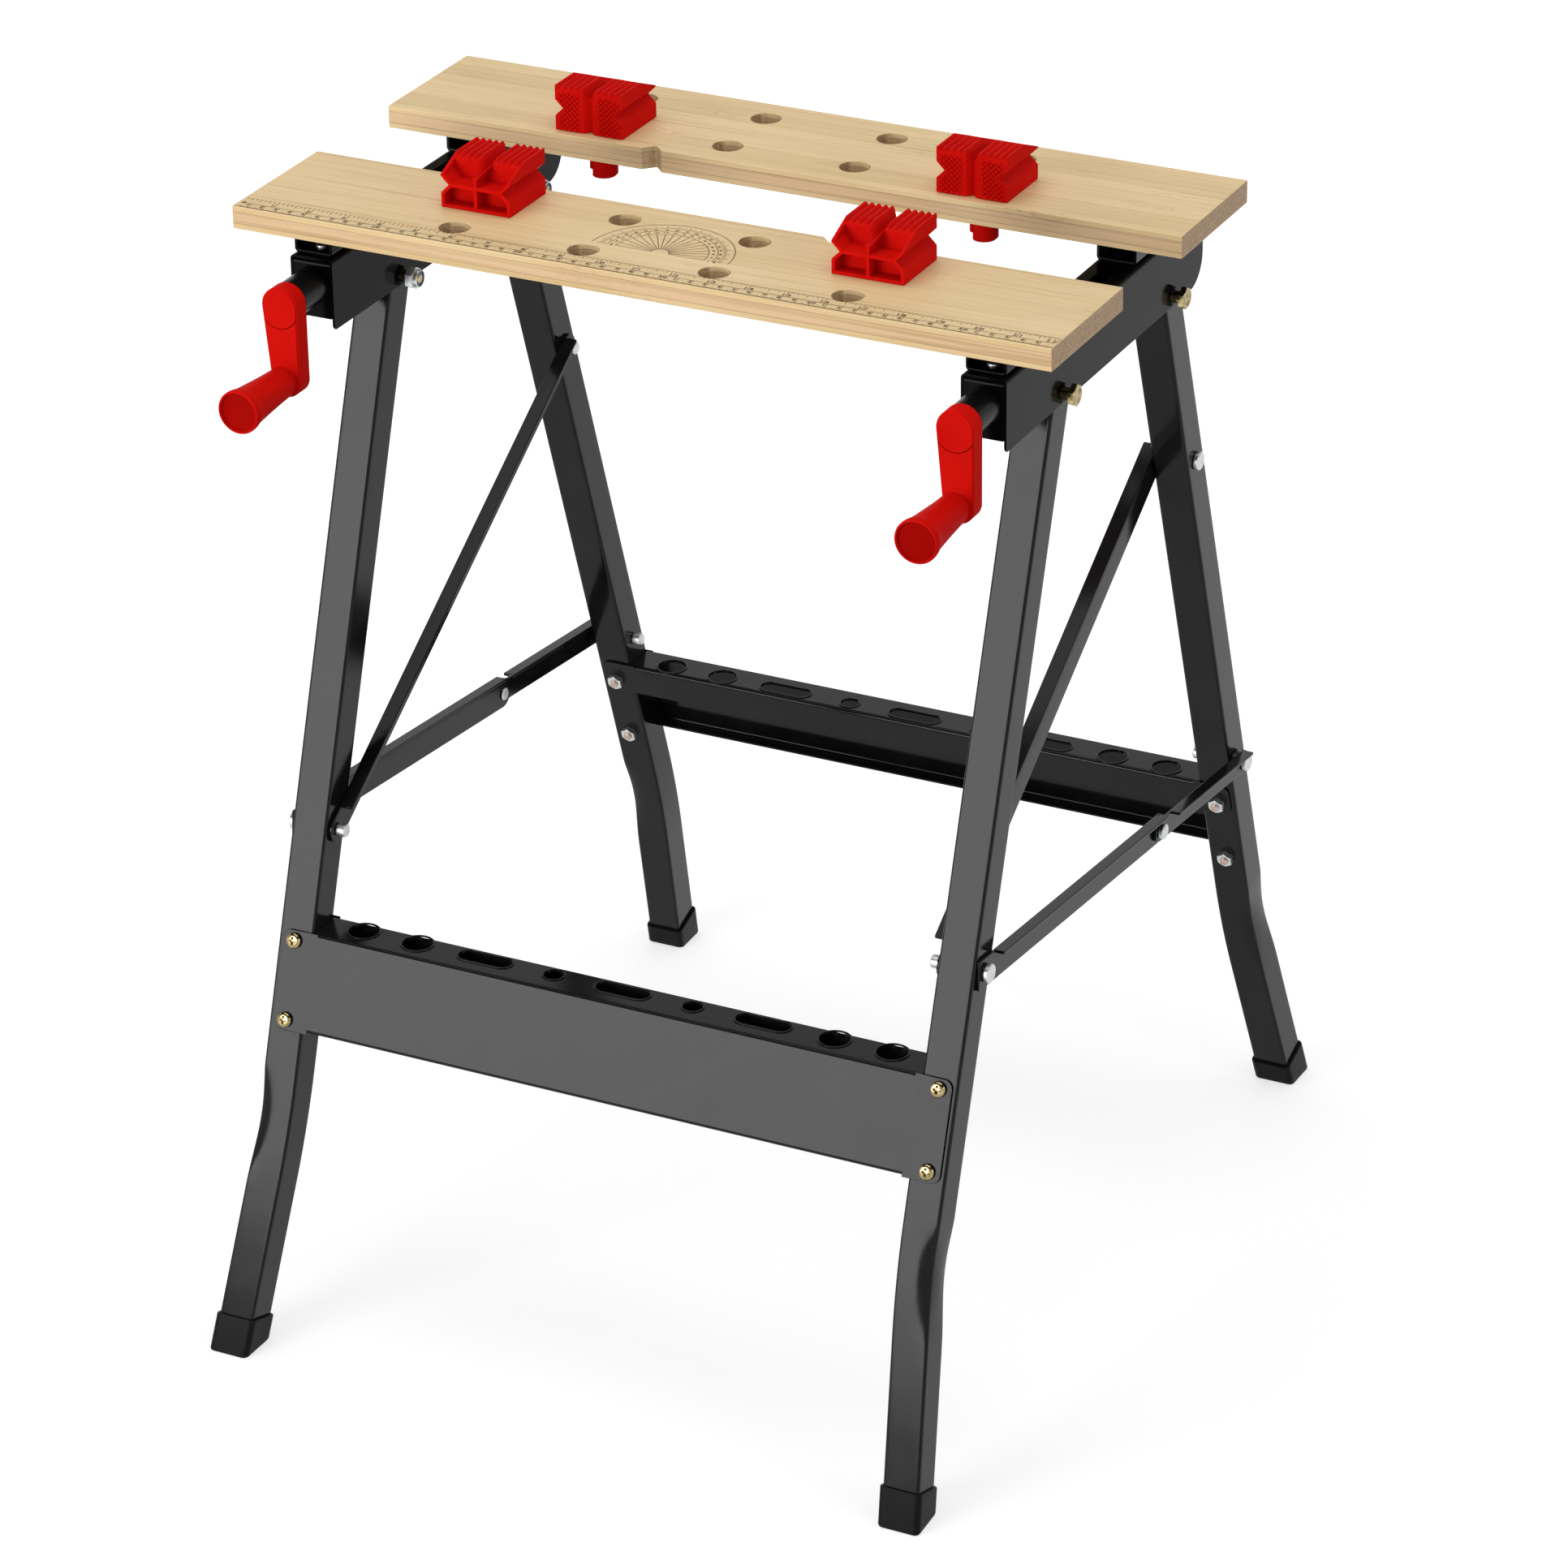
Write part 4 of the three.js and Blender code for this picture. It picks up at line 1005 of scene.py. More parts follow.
def traveller(side, name):
    bm = seat(side, TRAVELLER_FRONT)
    half, reach = NECK_WIDTH / 2, NECK_LENGTH / 2
    neck = fillet(rectangle(-half, half, NUT_Y - reach, NUT_Y + reach), NECK_CORNER, 3)
    half = NUT_SIZE / 2
    foot, top = SPINDLE_Z + half - 2 * OVERLAP, RAIL_TOP + GAP + OVERLAP
    plate(neck, foot, top, on_rail(side), NECK_EDGE, into=bm)
    block = fillet(rectangle(-half, half, -NUT_BELOW, half), NUT_CORNER)
    bore = circle(SPINDLE_RADIUS + GAP, (0, 0), 32)
    place = on_rail(side, 0, SPINDLE_Z) @ TO_FRONT
    plate(block, -NUT_Y - half, -NUT_Y + half, place, NUT_EDGE, holes=[bore], into=bm)
    stand_in(name, bm, "black_steel")


def spindle(side, name):
    root = SPINDLE_RADIUS - THREAD_DEPTH
    profile = [
        (0, -STUB_FRONT),
        (STUB_RADIUS - SPINDLE_EDGE, -STUB_FRONT),
        (STUB_RADIUS, -STUB_FRONT - SPINDLE_EDGE),
        (STUB_RADIUS, -COLLAR_FRONT),
        *chamfered(COLLAR_RADIUS, -COLLAR_FRONT, -COLLAR_REAR, COLLAR_EDGE),
        (SPINDLE_RADIUS, -COLLAR_REAR),
        (SPINDLE_RADIUS, -WASHER_FRONT),
        *chamfered(WASHER_RADIUS, -WASHER_FRONT, -WASHER_REAR, SPINDLE_EDGE),
        (root, -WASHER_REAR),
    ]
    start = -THREAD_FRONT
    while start > -THREAD_REAR:
        for radius, share in ((root, 0), (SPINDLE_RADIUS, 0.25), (SPINDLE_RADIUS, 0.5), (root, 0.75)):
            profile.append((radius, start - share * THREAD_PITCH))
        start -= THREAD_PITCH
    profile += [(root, 0.5 - SPINDLE_REAR), (root - 0.5, -SPINDLE_REAR), (0, -SPINDLE_REAR)]
    stand_in(name, lathe(profile, on_rail(side, 0, SPINDLE_Z) @ TO_FRONT, 32), "spindle_steel")


def crank(side, name):
    toe_x = CRANK_BOSS - CRANK_TOE
    reach = hypot(toe_x, CRANK_THROW)
    taper = atan2(toe_x, CRANK_THROW) + asin((CRANK_BOSS - CRANK_TOE) / reach)
    outline = arc((0, 0), CRANK_BOSS, 0, pi + taper, 32)
    outline += arc((toe_x, -CRANK_THROW), CRANK_TOE, pi + taper, tau, 24)
    place = on_rail(side, 0, SPINDLE_Z) @ TO_FRONT
    front = -CRANK_FRONT
    step = front - CRANK_RIM
    bm = plate(outline, -CRANK_BACK, step, place, CRANK_EDGE, 4)
    face = plate(inset_loop(outline, CRANK_RIM), step - OVERLAP, front, place, CRANK_FACE_EDGE)
    radii = (CRANK_DISC, CRANK_DISC - CRANK_GROOVE)
    outer, inner = [circle(radius, (0, -CRANK_DISC_DROP), 64) for radius in radii]
    groove = plate(outer, step, front + OVERLAP, place, *CUTTER_EDGE, [inner])
    carve(face, groove, into=bm)
    end = front + CRANK_SEAT
    foot = front - CRANK_SEAT_ROOT
    inset, drop = CRANK_SEAT_EDGE
    elbow = [(0, foot), (CRANK_TOE, foot), (CRANK_TOE, end - drop), (CRANK_TOE - inset, end), (0, end)]
    lathe(elbow, place @ shift(0, -CRANK_THROW, 0), 48, bm)
    stand_in(name, bm, "red_plastic")


def grip(side, name):
    near, far = -GRIP_FRONT, -GRIP_FRONT + GRIP_LENGTH
    profile = [(0, near), (GRIP_NECK - GRIP_EDGE, near), (GRIP_NECK, near + GRIP_EDGE)]
    for share in spread(0, 1, 12)[1:]:
        height = near + share * (GRIP_LENGTH - GRIP_BELL_LENGTH)
        profile.append((GRIP_NECK + GRIP_SWELL * share ** GRIP_CURVE, height))
    place = on_rail(side, 0, SPINDLE_Z - CRANK_THROW) @ TO_FRONT
    stand_in(name, lathe(profile + raised(far, GRIP_BELL), place, 56), "red_plastic")
    # The plug takes the painted-shade red, darker than the grip, to stand in for the shade on its end face.
    plug = lathe(raised(far, GRIP_PLUG), place, 56)
    piece(name + "_plug", plug, "painted_shade_red", BODY_OF[name])


# A pan head with a cross recess, its underside at height 0
def pan_head():
    radius, height = SCREW_HEAD_RADIUS, SCREW_HEAD_HEIGHT
    dome = height - SCREW_HEAD_WALL - SCREW_HEAD_CROWN
    profile = list(SCREW_HEAD_FOOT)
    for s, c in quarter(8):
        profile.append((radius - SCREW_HEAD_DOME * (1 - c), SCREW_HEAD_WALL + dome * s))
    profile.append((0, height))
    wide = [(x, y, height + 0.5) for x, y in rectangle(*RECESS_MOUTH)]
    deep = [(x, y, height - RECESS_DEPTH) for x, y in rectangle(*RECESS_FLOOR)]
    cross = [loft([deep, wide], turned(turn)) for turn in (0, pi / 2)]
    return as_mesh("pan_head", carve(lathe(profile, FLAT), *cross))


PAN_HEAD = pan_head()

for side, hand in SIDES:
    rail(side, f"{hand}_rail")
    end_bracket(side, f"{hand}_end_bracket")
    # The seat takes the painted-shade black, darker than black_steel to stand in for shade.
    stand_in(f"{hand}_jaw_seat", seat(side, SEAT_FRONT), "black_steel", "painted_shade_black")
    screw = bmesh.new()
    screw_place = on_rail(side, SEAT_FRONT + SEAT_SCREW_SETBACK, RAIL_TOP + GAP + SEAT_WALL)
    add_copy(screw, PAN_HEAD, screw_place @ Matrix.Scale(SEAT_SCREW_SCALE, 4))
    piece(f"{hand}_seat_screw", screw, "rivet_zinc", "top_frame")
    traveller(side, f"{hand}_traveller")
    spindle(side, f"{hand}_spindle")
    crank(side, f"{hand}_crank")
    grip(side, f"{hand}_grip")


# Pivot bolts and lock nuts
def pivot_bolt(side, y, name):
    base, face = BOLT_FACE + BOLT_STAND_OFF, BOLT_FACE + BOLT_NECK
    tail = -base - LOCK_NUT_HEIGHT - LOCK_NUT_CROWN - GAP
    place = outward(side, y, PIVOT_Z)
    root = face + OVERLAP
    point = [(0, tail), (BOLT_POINT, tail), (BOLT_RADIUS, tail + BOLT_POINT_LENGTH)]
    bm = lathe([*point, (BOLT_RADIUS, root), (0, root)], place, 32)
    hexagon(BOLT_FLATS, face, base + BOLT_HEAD_HEIGHT, place, BOLT_DISH, bm)
    stand_in(name, bm, "yellow_zinc")


def lock_nut(side, y, name):
    base = BOLT_FACE + BOLT_STAND_OFF
    face = base + LOCK_NUT_GAP
    hex_end = base + LOCK_NUT_HEIGHT + LOCK_NUT_SHOULDER
    end = hex_end + LOCK_NUT_CROWN
    place = outward(side, y, PIVOT_Z, -1)
    bm = hexagon(BOLT_FLATS, face, hex_end, place)
    foot = face + OVERLAP
    lathe([(0, foot), (CROWN_RADIUS, foot), *raised(end, CROWN_END)], place, into=bm)
    stand_in(name, bm, "rivet_zinc")
    insert = lathe(raised(end, NUT_INSERT), place)
    piece(name + "_insert", insert, "nylon", "top_frame")


for side, hand in SIDES:
    for end, y in (("front", -PIVOT_Y), ("rear", PIVOT_Y)):
        pivot_bolt(side, y, f"{hand}_{end}_pivot_bolt")
        lock_nut(side, y, f"{hand}_{end}_lock_nut")


# Legs, in a frame that hangs from the pivot with z along the tube and -y to the outside of the bench
BEND_START = (PIVOT_Z - BEND_HEIGHT - BEND_LENGTH / 2) / cos(TILT)
BEND_SPAN = BEND_LENGTH / cos(TILT)
BEND_MIDDLE = BEND_START + BEND_SPAN / 2
SPLAY_SLOPE = FOOT_SPLAY / (LEG_REACH - BEND_MIDDLE)


def splay_at(distance):
    past = distance - BEND_START
    if past <= 0:
        return 0
    if past < BEND_SPAN:
        return SPLAY_SLOPE * past * past / (2 * BEND_SPAN)
    return SPLAY_SLOPE * (past - BEND_SPAN / 2)


def leg_frame(end):
    turn, y = (0, -PIVOT_Y) if end == "front" else (pi, PIVOT_Y)
    return shift(0, y, PIVOT_Z) @ turned(turn) @ turned(-TILT, "X")


def square_ring(half, radius):
    edge = [(share * half, -half) for share in LEG_SIDE]
    points, radii = [], []
    for k in range(4):
        turn = Matrix.Rotation(k * pi / 2, 2)
        points += [turn @ Vector(p) for p in edge]
        radii += [radius] + [0] * (len(edge) - 1)
    return fillet(points, radii)


def leg_ring(facing, half, radius, distance=None, height=0, crimp=0):
    """A ring square to the leg at a distance from the pivot, or a level one at a height."""
    ring = []
    for p in square_ring(half, radius):
        s = distance if distance is not None else (PIVOT_Z - height) / cos(TILT) - p.y * tan(TILT)
        outer = max(0, facing * p.x / half)
        side = p.y / half
        dish = CRIMP_MIDDLE + (1 - CRIMP_MIDDLE) * side * side
        dent = CRIMP_DEPTH * crimp * dish * outer ** CRIMP_FOCUS
        pinch = CRIMP_PINCH * crimp * side * outer ** PINCH_FOCUS
        ring.append((p.x + facing * (splay_at(s) - dent), p.y - pinch, -s))
    return ring


def leg(facing, place, name):
    distances = [-LEG_HEAD, *LEG_RINGS, BEND_START - BEND_LEAD]
    distances += [BEND_MIDDLE + CRIMP_LENGTH * share for share in spread(-0.5, 0.5, 32)]
    rings = []
    for s in distances:
        share = min(1, max(0, (s - BEND_MIDDLE) / CRIMP_LENGTH + 0.5))
        crimp = sin(pi * share ** CRIMP_SKEW) ** 2
        rings.append(leg_ring(facing, LEG_HALF, LEG_CORNER, s, 0, crimp))
    rings.append(leg_ring(facing, LEG_HALF, LEG_CORNER, None, CAP_SOLE + GAP))
    stand_in(name, loft(rings, place), "black_steel")


def foot_cap(facing, place, name):
    half = LEG_HALF + GAP + CAP_WALL
    radius = LEG_CORNER + CAP_WALL
    top = LEG_REACH - CAP_HEIGHT
    rings = [leg_ring(facing, half + grow, radius, top + down) for down, grow in CAP_LIP]
    rings += [leg_ring(facing, half + grow, radius, None, up) for up, grow in CAP_EDGE]
    stand_in(name, loft(rings, place), "black_rubber")


# Trays: one sheet bent from lip to flange between the legs, with ears over the legs
def tray(place, name):
    sheet_y = TRAY_FACE + TRAY_SHEET / 2
    level = Vector((cos(TILT), sin(TILT)))
    low = Vector((-sheet_y, -TRAY_DISTANCE - TRAY_HEIGHT + TRAY_EDGE))
    high = Vector((-sheet_y, -TRAY_DISTANCE - TRAY_EDGE))
    back = high + level * (2 * sheet_y / level.x)
    flange_low = -TRAY_DISTANCE + SHELF_DEPTH * sin(TILT) - TRAY_FLANGE
    line = [low + level * TRAY_LIP, low, high, back, Vector((sheet_y, flange_low))]
    outline = sheet_outline(line, TRAY_SHEET, SHEET_BEND)
    bent = plate(outline, -SHELF_HALF, SHELF_HALF, place @ ALONG_X, *SHELF_EDGE)
    shelf_z = -TRAY_DISTANCE - TRAY_EDGE + TRAY_SHEET / 2
    shelf = place @ shift(0, -sheet_y, shelf_z) @ turned(TILT, "X")
    loops = [slot_loop(*TRAY_SLOT_SIZE, (x, HOLE_LINE)) for x in TRAY_SLOTS]
    for x, diameter in TRAY_HOLES:
        loops += [circle(diameter / 2, (sign * x, HOLE_LINE)) for sign in (-1, 1)]
    holes = bmesh.new()
    for loop in loops:
        plate(loop, -4, 3, shelf, *CUTTER_EDGE, into=holes)
    bm = carve(bent, holes)
    soften(bm, *TRAY_ROUND)
    for loop in loops:
        plate(inset_loop(loop, -HOLE_RIM), *HOLE_RIM_HEIGHT, shelf, HOLE_RIM_EDGE, 3, [loop], bm)
    inner = SHELF_HALF - EAR_OVERLAP
    panel = (-TRAY_DISTANCE - TRAY_HEIGHT, -TRAY_DISTANCE, TRAY_FACE)
    flange = (flange_low, flange_low + TRAY_FLANGE, -TRAY_FACE - TRAY_SHEET)
    for sign in (-1, 1):
        x0, x1 = sorted((sign * inner, sign * TRAY_HALF))
        rounded = [TRAY_CORNER if abs(x) == TRAY_HALF else 0 for x, _ in rectangle(x0, x1, 0, 1)]
        for z0, z1, front in (panel, flange):
            loop = fillet(rectangle(x0, x1, z0, z1), rounded, 6)
            layer = (front + EAR_RECESS, front + TRAY_SHEET - EAR_RECESS)
            plate(loop, *layer, place @ TO_FRONT, into=bm)
    stand_in(name, bm, "black_steel")


def tray_screw(place, clamps_flange, name):
    """Pan head outside, nut inside; its frame has -y to the outside."""
    head = TRAY_FACE + TRAY_SHEET
    base = TRAY_FACE + (TRAY_SHEET + GAP if clamps_flange else 0)
    end = -base - 3
    bm = shank(place @ TO_FRONT, end, head, SCREW_RADIUS, segments=24)
    add_copy(bm, PAN_HEAD, place @ TO_FRONT @ shift(0, 0, head + GAP))
    stand_in(name, bm, "yellow_zinc")
    nut = hexagon(SCREW_NUT_FLATS, base, base + SCREW_NUT_HEIGHT, place @ TO_REAR)
    piece(name + "_nut", nut, "rivet_zinc", BODY_OF[name])
    tip = lathe(raised(base, SCREW_TIP), place @ TO_REAR, 28)
    piece(name + "_tip", tip, "copper_zinc", BODY_OF[name])


for end in ("front", "rear"):
    hanging = leg_frame(end)
    tray(hanging, f"{end}_tray")
    for side, hand in SIDES:
        facing = side if end == "front" else -side
        tube = hanging @ on_rail(facing)
        leg(facing, tube, f"{hand}_{end}_leg")
        foot_cap(facing, tube, f"{hand}_{end}_foot_cap")
        upper = tube @ shift(0, 0, -TRAY_DISTANCE - SCREW_INSET)
        lower = tube @ shift(0, 0, -TRAY_DISTANCE - TRAY_HEIGHT + SCREW_INSET)
        tray_screw(upper, True, f"{hand}_{end}_tray_screw_upper")
        tray_screw(lower, False, f"{hand}_{end}_tray_screw_lower")


# Pivot points of the side frames, as y and z
def down_leg(sign, distance):
    return Vector((sign * (PIVOT_Y + distance * sin(TILT)), PIVOT_Z - distance * cos(TILT)))


STAY_FRONT_POINT = down_leg(-1, STAY_FRONT)
STAY_REAR_POINT = down_leg(1, STAY_REAR)
BRACE_REAR_POINT = down_leg(1, BRACE_REAR)
KNEE_POINT = STAY_FRONT_POINT + (STAY_REAR_POINT - STAY_FRONT_POINT).normalized() * FRONT_LINK_LENGTH
LEG_LAYER = LEG_HALF + GAP
FRONT_LINK = (LEG_LAYER, LEG_LAYER + LINK_SHEET)
REAR_LINK = (FRONT_LINK[1] + GAP, FRONT_LINK[1] + GAP + LINK_SHEET)
BRACE = (-LEG_LAYER - LINK_SHEET, -LEG_LAYER)


def bar_outline(length, half, tab, start, end):
    """A bar along u with round ends, or a square tab at the first one; its top drops under the flange."""
    drop = half - LINK_SHEET + FLANGE_OVERLAP
    if tab:
        loop = corner_arc((-tab, 0), (-tab, -half), (0, -half), TAB_CORNER, 4)
    else:
        loop = arc((0, 0), half, pi / 2, 1.5 * pi, 14)
    loop += arc((length, 0), half, -pi / 2, pi / 2, 14)
    loop += [(end, half), (end, drop), (start, drop), (start, half)]
    if tab:
        loop += corner_arc((0, half), (-tab, half), (-tab, 0), TAB_CORNER, 4)
    return loop


def angle_bar(side, name, ends, half, layers, flange, span, tab=0):
    """A web from one pivot to another, between two layers, with a flange along its upper edge."""
    along = ends[1] - ends[0]
    length = along.length
    start, end = span[0], length + span[1]
    place = on_rail(side, *ends[0]) @ turned(atan2(along.y, along.x), "X")
    x0, x1 = sorted(side * x for x in layers)
    bm = plate(bar_outline(length, half, tab, start, end), x0, x1, place @ ALONG_X, LINK_EDGE)
    away = side if layers[0] > 0 else -side
    reach = (x0, x0 + flange) if away > 0 else (x1 - flange, x1)
    lying = place @ axes((0, 1, 0), (1, 0, 0))
    loop = fillet(rectangle(start, end, *reach), FLANGE_CORNER, 3)
    plate(loop, -half, -half + LINK_SHEET, lying, FLANGE_EDGE, 3, into=bm)
    stand_in(name, bm, "black_steel")


def rivet_head(place, foot, height, radius, into=None):
    edge = foot + height - RIVET_ROUND
    profile = [(0, foot), (radius - RIVET_EDGE, foot), (radius, foot + RIVET_EDGE)]
    profile += [(radius - RIVET_ROUND * (1 - c), edge + RIVET_ROUND * s) for s, c in quarter(6)]
    return lathe([*profile, (0, foot + height)], place, 36, into)


def rivet(side, point, name, span, head=None, tail=None, collar=None, stub=None, radius=RIVET_HEAD_RADIUS):
    """A head outside, a tail or stub inside, each by the layer it sits on, and a collar."""
    place = outward(side, *point)
    inside = outward(side, *point, -1)
    bm = shank(place, *span, RIVET_RADIUS)
    if head is not None:
        rivet_head(place, head + GAP, RIVET_HEAD_HEIGHT, radius, bm)
    if tail is not None:
        rivet_head(inside, GAP - tail, RIVET_TAIL_HEIGHT, RIVET_TAIL_RADIUS, bm)
    if stub is not None:
        rivet_head(inside, GAP - stub, RIVET_STUB_HEIGHT, RIVET_STUB_RADIUS, bm)
    if collar:
        shank(place, *collar, RIVET_COLLAR_RADIUS, bm)
    stand_in(name, bm, "rivet_zinc")


for side, hand in SIDES:
    brace_ends = (STAY_FRONT_POINT, BRACE_REAR_POINT)
    front_ends = (STAY_FRONT_POINT, KNEE_POINT)
    rear_ends = (KNEE_POINT, STAY_REAR_POINT)
    angle_bar(side, f"{hand}_brace", brace_ends, BRACE_HALF, BRACE, BRACE_FLANGE, BRACE_SPAN)
    stub_place = outward(side, *BRACE_REAR_POINT, -1)
    stub = rivet_head(stub_place, -BRACE[0] - 0.5, RIVET_STUB_HEIGHT, RIVET_STUB_RADIUS)
    piece(f"{hand}_brace_stub", stub, "rivet_zinc", "braces")
    front_link = (FRONT_LINK_HALF, FRONT_LINK, LINK_FLANGE, FRONT_LINK_SPAN, FRONT_LINK_TAB)
    angle_bar(side, f"{hand}_stay_front_link", front_ends, *front_link)
    button_place = outward(side, *STAY_FRONT_POINT)
    outside = FRONT_LINK[1]
    button = shank(button_place, outside - OVERLAP, outside + BUTTON_NECK, BUTTON_NECK_RADIUS)
    rivet_head(button_place, outside + BUTTON_RISE, BUTTON_HEIGHT, BUTTON_RADIUS, button)
    piece(f"{hand}_stay_button", button, "rivet_zinc", "stay_front_links")
    rear_link = (REAR_LINK_HALF, REAR_LINK, LINK_FLANGE, REAR_LINK_SPAN)
    angle_bar(side, f"{hand}_stay_rear_link", rear_ends, *rear_link)
    outside = REAR_LINK[1]
    knee_span = (LEG_LAYER - OVERLAP, outside + OVERLAP)
    knee = {"head": outside, "tail": LEG_LAYER, "radius": KNEE_HEAD_RADIUS}
    rivet(side, KNEE_POINT, f"{hand}_knee_rivet", knee_span, **knee)
    brace_span = (BRACE[0] - OVERLAP, LEG_HALF)
    rivet(side, STAY_FRONT_POINT, f"{hand}_brace_front_rivet", brace_span, stub=BRACE[0])
    brace_span = (-LEG_HALF, LEG_HALF + OVERLAP)
    rivet(side, BRACE_REAR_POINT, f"{hand}_brace_rear_rivet", brace_span, head=LEG_HALF)
    stay = {"head": outside, "collar": (LEG_LAYER, REAR_LINK[0] - GAP), "stub": -LEG_HALF}
    rivet(side, STAY_REAR_POINT, f"{hand}_stay_rear_rivet", (-LEG_HALF, outside + OVERLAP), **stay)


# Bench dogs, face towards +y
def dog_section(y):
    """The outline across a dog, as x and z, cut down to the sloping back."""
    limit = DOG_HEIGHT - max(0, DOG_TOP_END - y) * DOG_SLOPE
    half = [
        (DOG_HALF, 0),
        (DOG_HALF, DOG_VEE_HEIGHT - DOG_VEE_DEPTH),
        (DOG_HALF - DOG_VEE_DEPTH, DOG_VEE_HEIGHT),
        (DOG_HALF, DOG_VEE_HEIGHT + DOG_VEE_DEPTH),
        (DOG_HALF, DOG_HEIGHT),
    ]
    pitch = (DOG_HALF - DOG_VALLEY_HALF - DOG_CREST) / DOG_GROOVES
    for k in range(DOG_GROOVES):
        outer = DOG_HALF - k * pitch
        half.append((outer - DOG_CREST, DOG_HEIGHT))
        half.append((outer - (DOG_CREST + pitch) / 2, DOG_HEIGHT - DOG_RIB_DEPTH))
        half.append((outer - pitch, DOG_HEIGHT))
    half.append((DOG_VALLEY_HALF, DOG_HEIGHT))
    half.append((DOG_VALLEY_FLOOR, DOG_HEIGHT - DOG_VALLEY_DEPTH))
    loop = half + [(-x, z) for x, z in reversed(half)]
    return [(x, y, min(z, limit)) for x, z in loop]


def dog_body():
    drops = (0, DOG_RIB_DEPTH, DOG_VALLEY_DEPTH)
    stations = [DOG_FACE - KNURL_DEPTH, *[DOG_TOP_END - drop / DOG_SLOPE for drop in drops], DOG_BACK]
    body = loft([dog_section(y) for y in stations])
    bmesh.ops.remove_doubles(body, verts=body.verts, dist=WELD)
    reach, mouth = DOG_FACE_GROOVE + OVERLAP, DOG_FACE + OVERLAP
    vee = [(-reach, mouth), (0, DOG_FACE - DOG_FACE_GROOVE), (reach, mouth)]
    cutters = [prism(vee, -2, DOG_HEIGHT + 2)]
    wall = DOG_WALL / 2
    outer = DOG_HALF - DOG_WALL
    narrow = outer - DOG_VEE_DEPTH + DOG_VEE_THINNING
    below, above = DOG_VEE_HEIGHT - wall, DOG_VEE_HEIGHT + wall
    valley = DOG_HEIGHT - DOG_VALLEY_DEPTH
    lower = [
        (wall, DOG_WALL),
        (outer, DOG_WALL),
        (outer, below - DOG_POCKET_SLANT),
        (narrow, below),
        (wall, below),
    ]
    upper = [
        (wall, above),
        (narrow, above),
        (outer, above + DOG_POCKET_SLANT),
        (outer, DOG_HEIGHT + 10),
        (DOG_VALLEY_HALF + 12, DOG_HEIGHT + 10),
        (DOG_VALLEY_HALF, valley + 5),
        (wall, valley - 1.5),
    ]
    for sign in (-1, 1):
        for corners, depth in ((lower, DOG_LOWER_DEPTH), (upper, DOG_POCKET_DEPTH)):
            ends = (DOG_BACK - 3, DOG_BACK + depth)
            cutters.append(loft([[(sign * x, y, z) for x, z in corners] for y in ends]))
    body = carve(body, *cutters)
    soften(body, *DOG_ROUND)
    return body


def add_knurl(bm):
    """Raised diamonds on the face, on both sides of its groove."""
    base = DOG_FACE - KNURL_DEPTH - KNURL_SINK
    above, inner, outer = KNURL_MARGINS
    half, tall = KNURL_WIDTH / 2, KNURL_HEIGHT / 2
    for row in range(1, int(DOG_HEIGHT / tall)):
        z = row * tall
        vee = max(0, DOG_VEE_DEPTH - abs(z - DOG_VEE_HEIGHT))
        if z + tall > DOG_HEIGHT - DOG_RIB_DEPTH - above:
            continue
        for column in range(-20, 20):
            x = (column + (row % 2) / 2) * KNURL_WIDTH
            if abs(x) - half <= DOG_FACE_GROOVE + inner or abs(x) + half >= DOG_HALF - vee - outer:
                continue
            rings = []
            for y, share in ((base, KNURL_FOOT), (DOG_FACE, KNURL_TOP)):
                u, v = share * half, share * tall
                rings.append([(x + u, y, z), (x, y, z + v), (x - u, y, z), (x, y, z - v)])
            loft(rings, into=bm)


def dog_mesh():
    end, radius = -DOG_PEG_LENGTH, DOG_PEG_RADIUS
    profile = [(0, 1), (radius, 1), (radius, end + DOG_PEG_EDGE), (radius - DOG_PEG_EDGE, end), (0, end)]
    wide = (-DOG_PEG_CUT, DOG_PEG_CUT)
    split = prism(rectangle(*DOG_PEG_SPLIT, *wide), end - 2, DOG_PEG_SPLIT_TOP)
    short = prism(rectangle(DOG_PEG_STEP_X, DOG_PEG_CUT, *wide), end - 2, end + DOG_PEG_STEP)
    bm = dog_body()
    add_knurl(bm)
    carve(lathe(profile, FLAT), split, short, into=bm)
    return as_mesh("dog", bm)


DOG = dog_mesh()
for side, hand in SIDES:
    for end, y, turn in (("front", DOG_FRONT_Y, 0), ("rear", DOG_REAR_Y, pi)):
        bm = bmesh.new()
        add_copy(bm, DOG, shift(side * DOG_X, y, BENCH_HEIGHT + GAP) @ turned(turn))
        stand_in(f"{hand}_{end}_dog", bm, "red_plastic")


# Camera
AZIMUTH = radians(26.58)
ELEVATION = radians(26.73)
ROLL = radians(0.78)
CAMERA_PLACE = (1.5781, -3.1398, 2.0923)
FOCAL_PIXELS = 7307
IMAGE_PIXELS = 1932
SENSOR = 36
CLIP_END = 200

level = cos(ELEVATION)
ahead = Vector((-sin(AZIMUTH) * level, cos(AZIMUTH) * level, -sin(ELEVATION)))
level_right = ahead.cross(Vector((0, 0, 1))).normalized()
level_down = ahead.cross(level_right)
right = cos(ROLL) * level_right + sin(ROLL) * level_down
down = cos(ROLL) * level_down - sin(ROLL) * level_right
camera_data = bpy.data.cameras.new("camera")
camera_data.sensor_width = SENSOR
camera_data.lens = FOCAL_PIXELS / IMAGE_PIXELS * SENSOR
camera_data.clip_end = CLIP_END
camera = link("camera", camera_data)
camera.matrix_world = shift(*CAMERA_PLACE) @ Matrix((right, -down, -ahead)).transposed().to_4x4()
bpy.context.scene.camera = camera


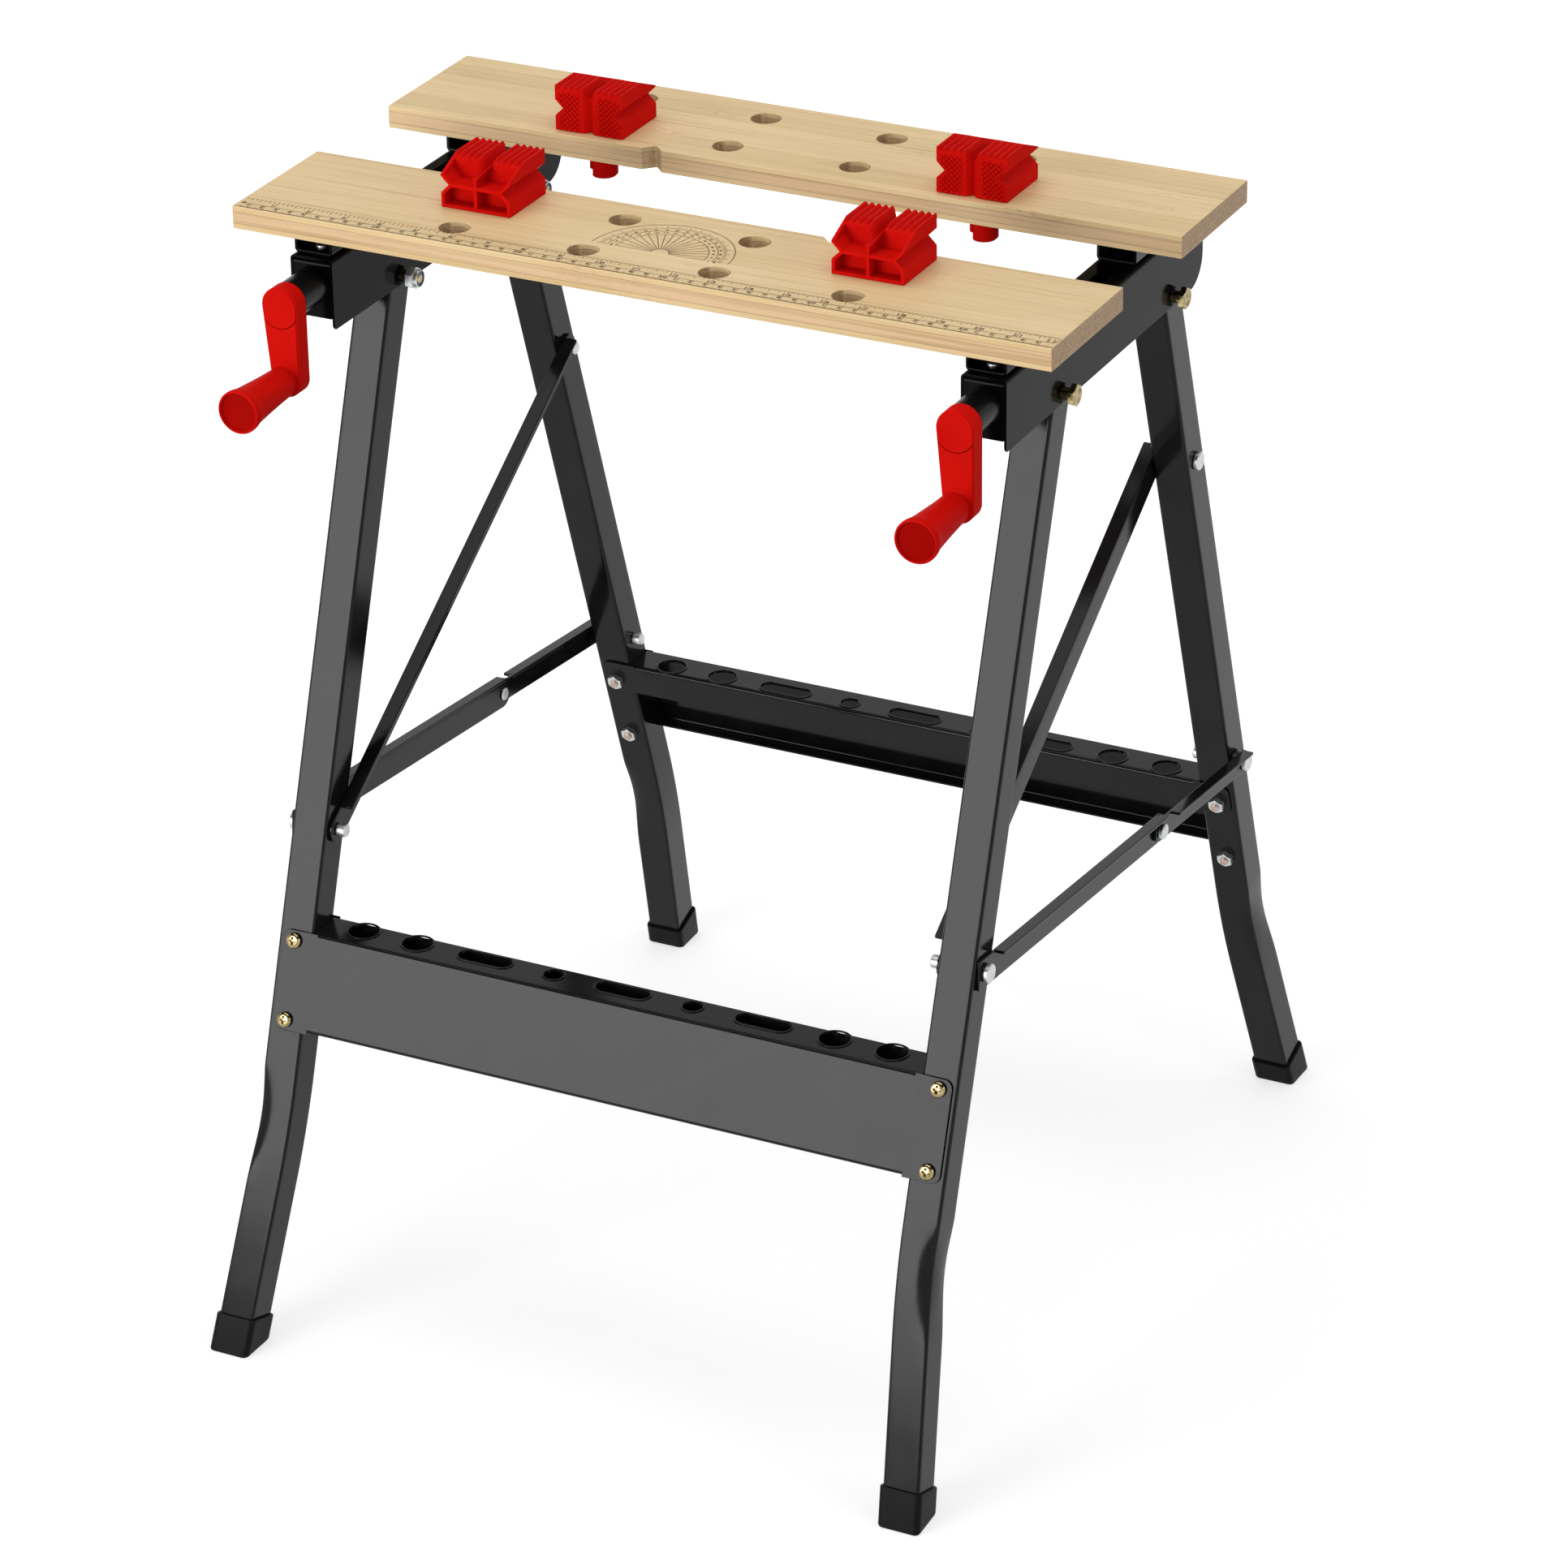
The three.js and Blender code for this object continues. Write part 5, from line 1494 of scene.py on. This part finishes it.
# Floor, backdrop and lamps
FLOOR_REACH = 60
FLOOR_Z = -0.0003
FLOOR_GREY = (0.5, 0.5, 0.5, 1)
FLOOR_GLOW = (0.4, 3.0, 0.64, 1.0)
BACKDROP_TOP = sin(radians(31))
BACKDROP_BLUR = 0.012
BACKDROP_GREY = (0.9, 0.9, 0.9)
ROOM_GREY = (0.07, 0.07, 0.073)


def floor():
    """Pale, with the object's shadow, and white in the picture and in reflections."""
    material, tree = new_material("floor")
    tree.nodes.remove(tree.nodes["Principled BSDF"])
    ray = node(tree, "LightPath").outputs
    seen = maths(tree, "MAXIMUM", ray["Is Camera Ray"], ray["Is Glossy Ray"])
    seen = maths(tree, "MAXIMUM", seen, ray["Is Transmission Ray"])
    place = node(tree, "TexCoord").outputs["Object"]
    distance = node(tree, "VectorMath", {0: place}, operation="LENGTH").outputs["Value"]
    strength = maths(tree, "MULTIPLY", seen, map_range(tree, distance, *FLOOR_GLOW))
    glow = node(tree, "Emission", {"Color": (1, 1, 1, 1), "Strength": strength})
    matt = node(tree, "BsdfDiffuse", {"Color": FLOOR_GREY})
    both = node(tree, "AddShader", {0: glow.outputs[0], 1: matt.outputs[0]})
    tree.links.new(both.outputs[0], tree.nodes["Material Output"].inputs["Surface"])
    bm = bmesh.new()
    corners = rectangle(-FLOOR_REACH, FLOOR_REACH, -FLOOR_REACH, FLOOR_REACH)
    bm.faces.new([bm.verts.new((x, y, FLOOR_Z)) for x, y in corners])
    obj = link("floor", as_mesh("floor", bm))
    obj.data.materials.append(material)


def sky():
    """A pale backdrop all round up to a height, and a dim room above it, which the camera sees as white."""
    world = bpy.data.worlds.new("world")
    world.use_nodes = True
    tree = world.node_tree
    towards = node(tree, "TexCoord").outputs["Generated"]
    height = node(tree, "SeparateXYZ", {0: towards}).outputs["Z"]
    backdrop = (BACKDROP_TOP - BACKDROP_BLUR, BACKDROP_GREY)
    room = (BACKDROP_TOP + BACKDROP_BLUR, ROOM_GREY)
    direct = node(tree, "LightPath").outputs["Is Camera Ray"]
    colour = mix(tree, direct, ramp(tree, height, backdrop, room), (*WHITE, 1))
    tree.links.new(colour, tree.nodes["Background"].inputs["Color"])
    bpy.context.scene.world = world


def lamp(name, place, target, size, radiance):
    """A soft panel that faces a target, as bright as radiance all over."""
    data = bpy.data.lights.new(name, "AREA")
    data.shape = "RECTANGLE"
    data.size, data.size_y = size
    data.energy = radiance * size[0] * size[1] * pi
    facing = (Vector(target) - Vector(place)).to_track_quat("-Z", "Y")
    link(name, data).matrix_world = shift(*place) @ facing.to_matrix().to_4x4()


floor()
sky()
lamp("overhead", (-0.1, 0.05, 3.0), (0, 0, 0.5), (2.6, 2.6), 2.22)
lamp("front_left", (-1.3, -3.05, 0.92), (0, -0.2, 0.4), (1.55, 1.5), 8.6)
lamp("right", (3.4, -0.9, 1.6), (0, 0, 0.5), (1.6, 1.6), 2.2)

bpy.context.scene.view_settings.view_transform = "Standard"
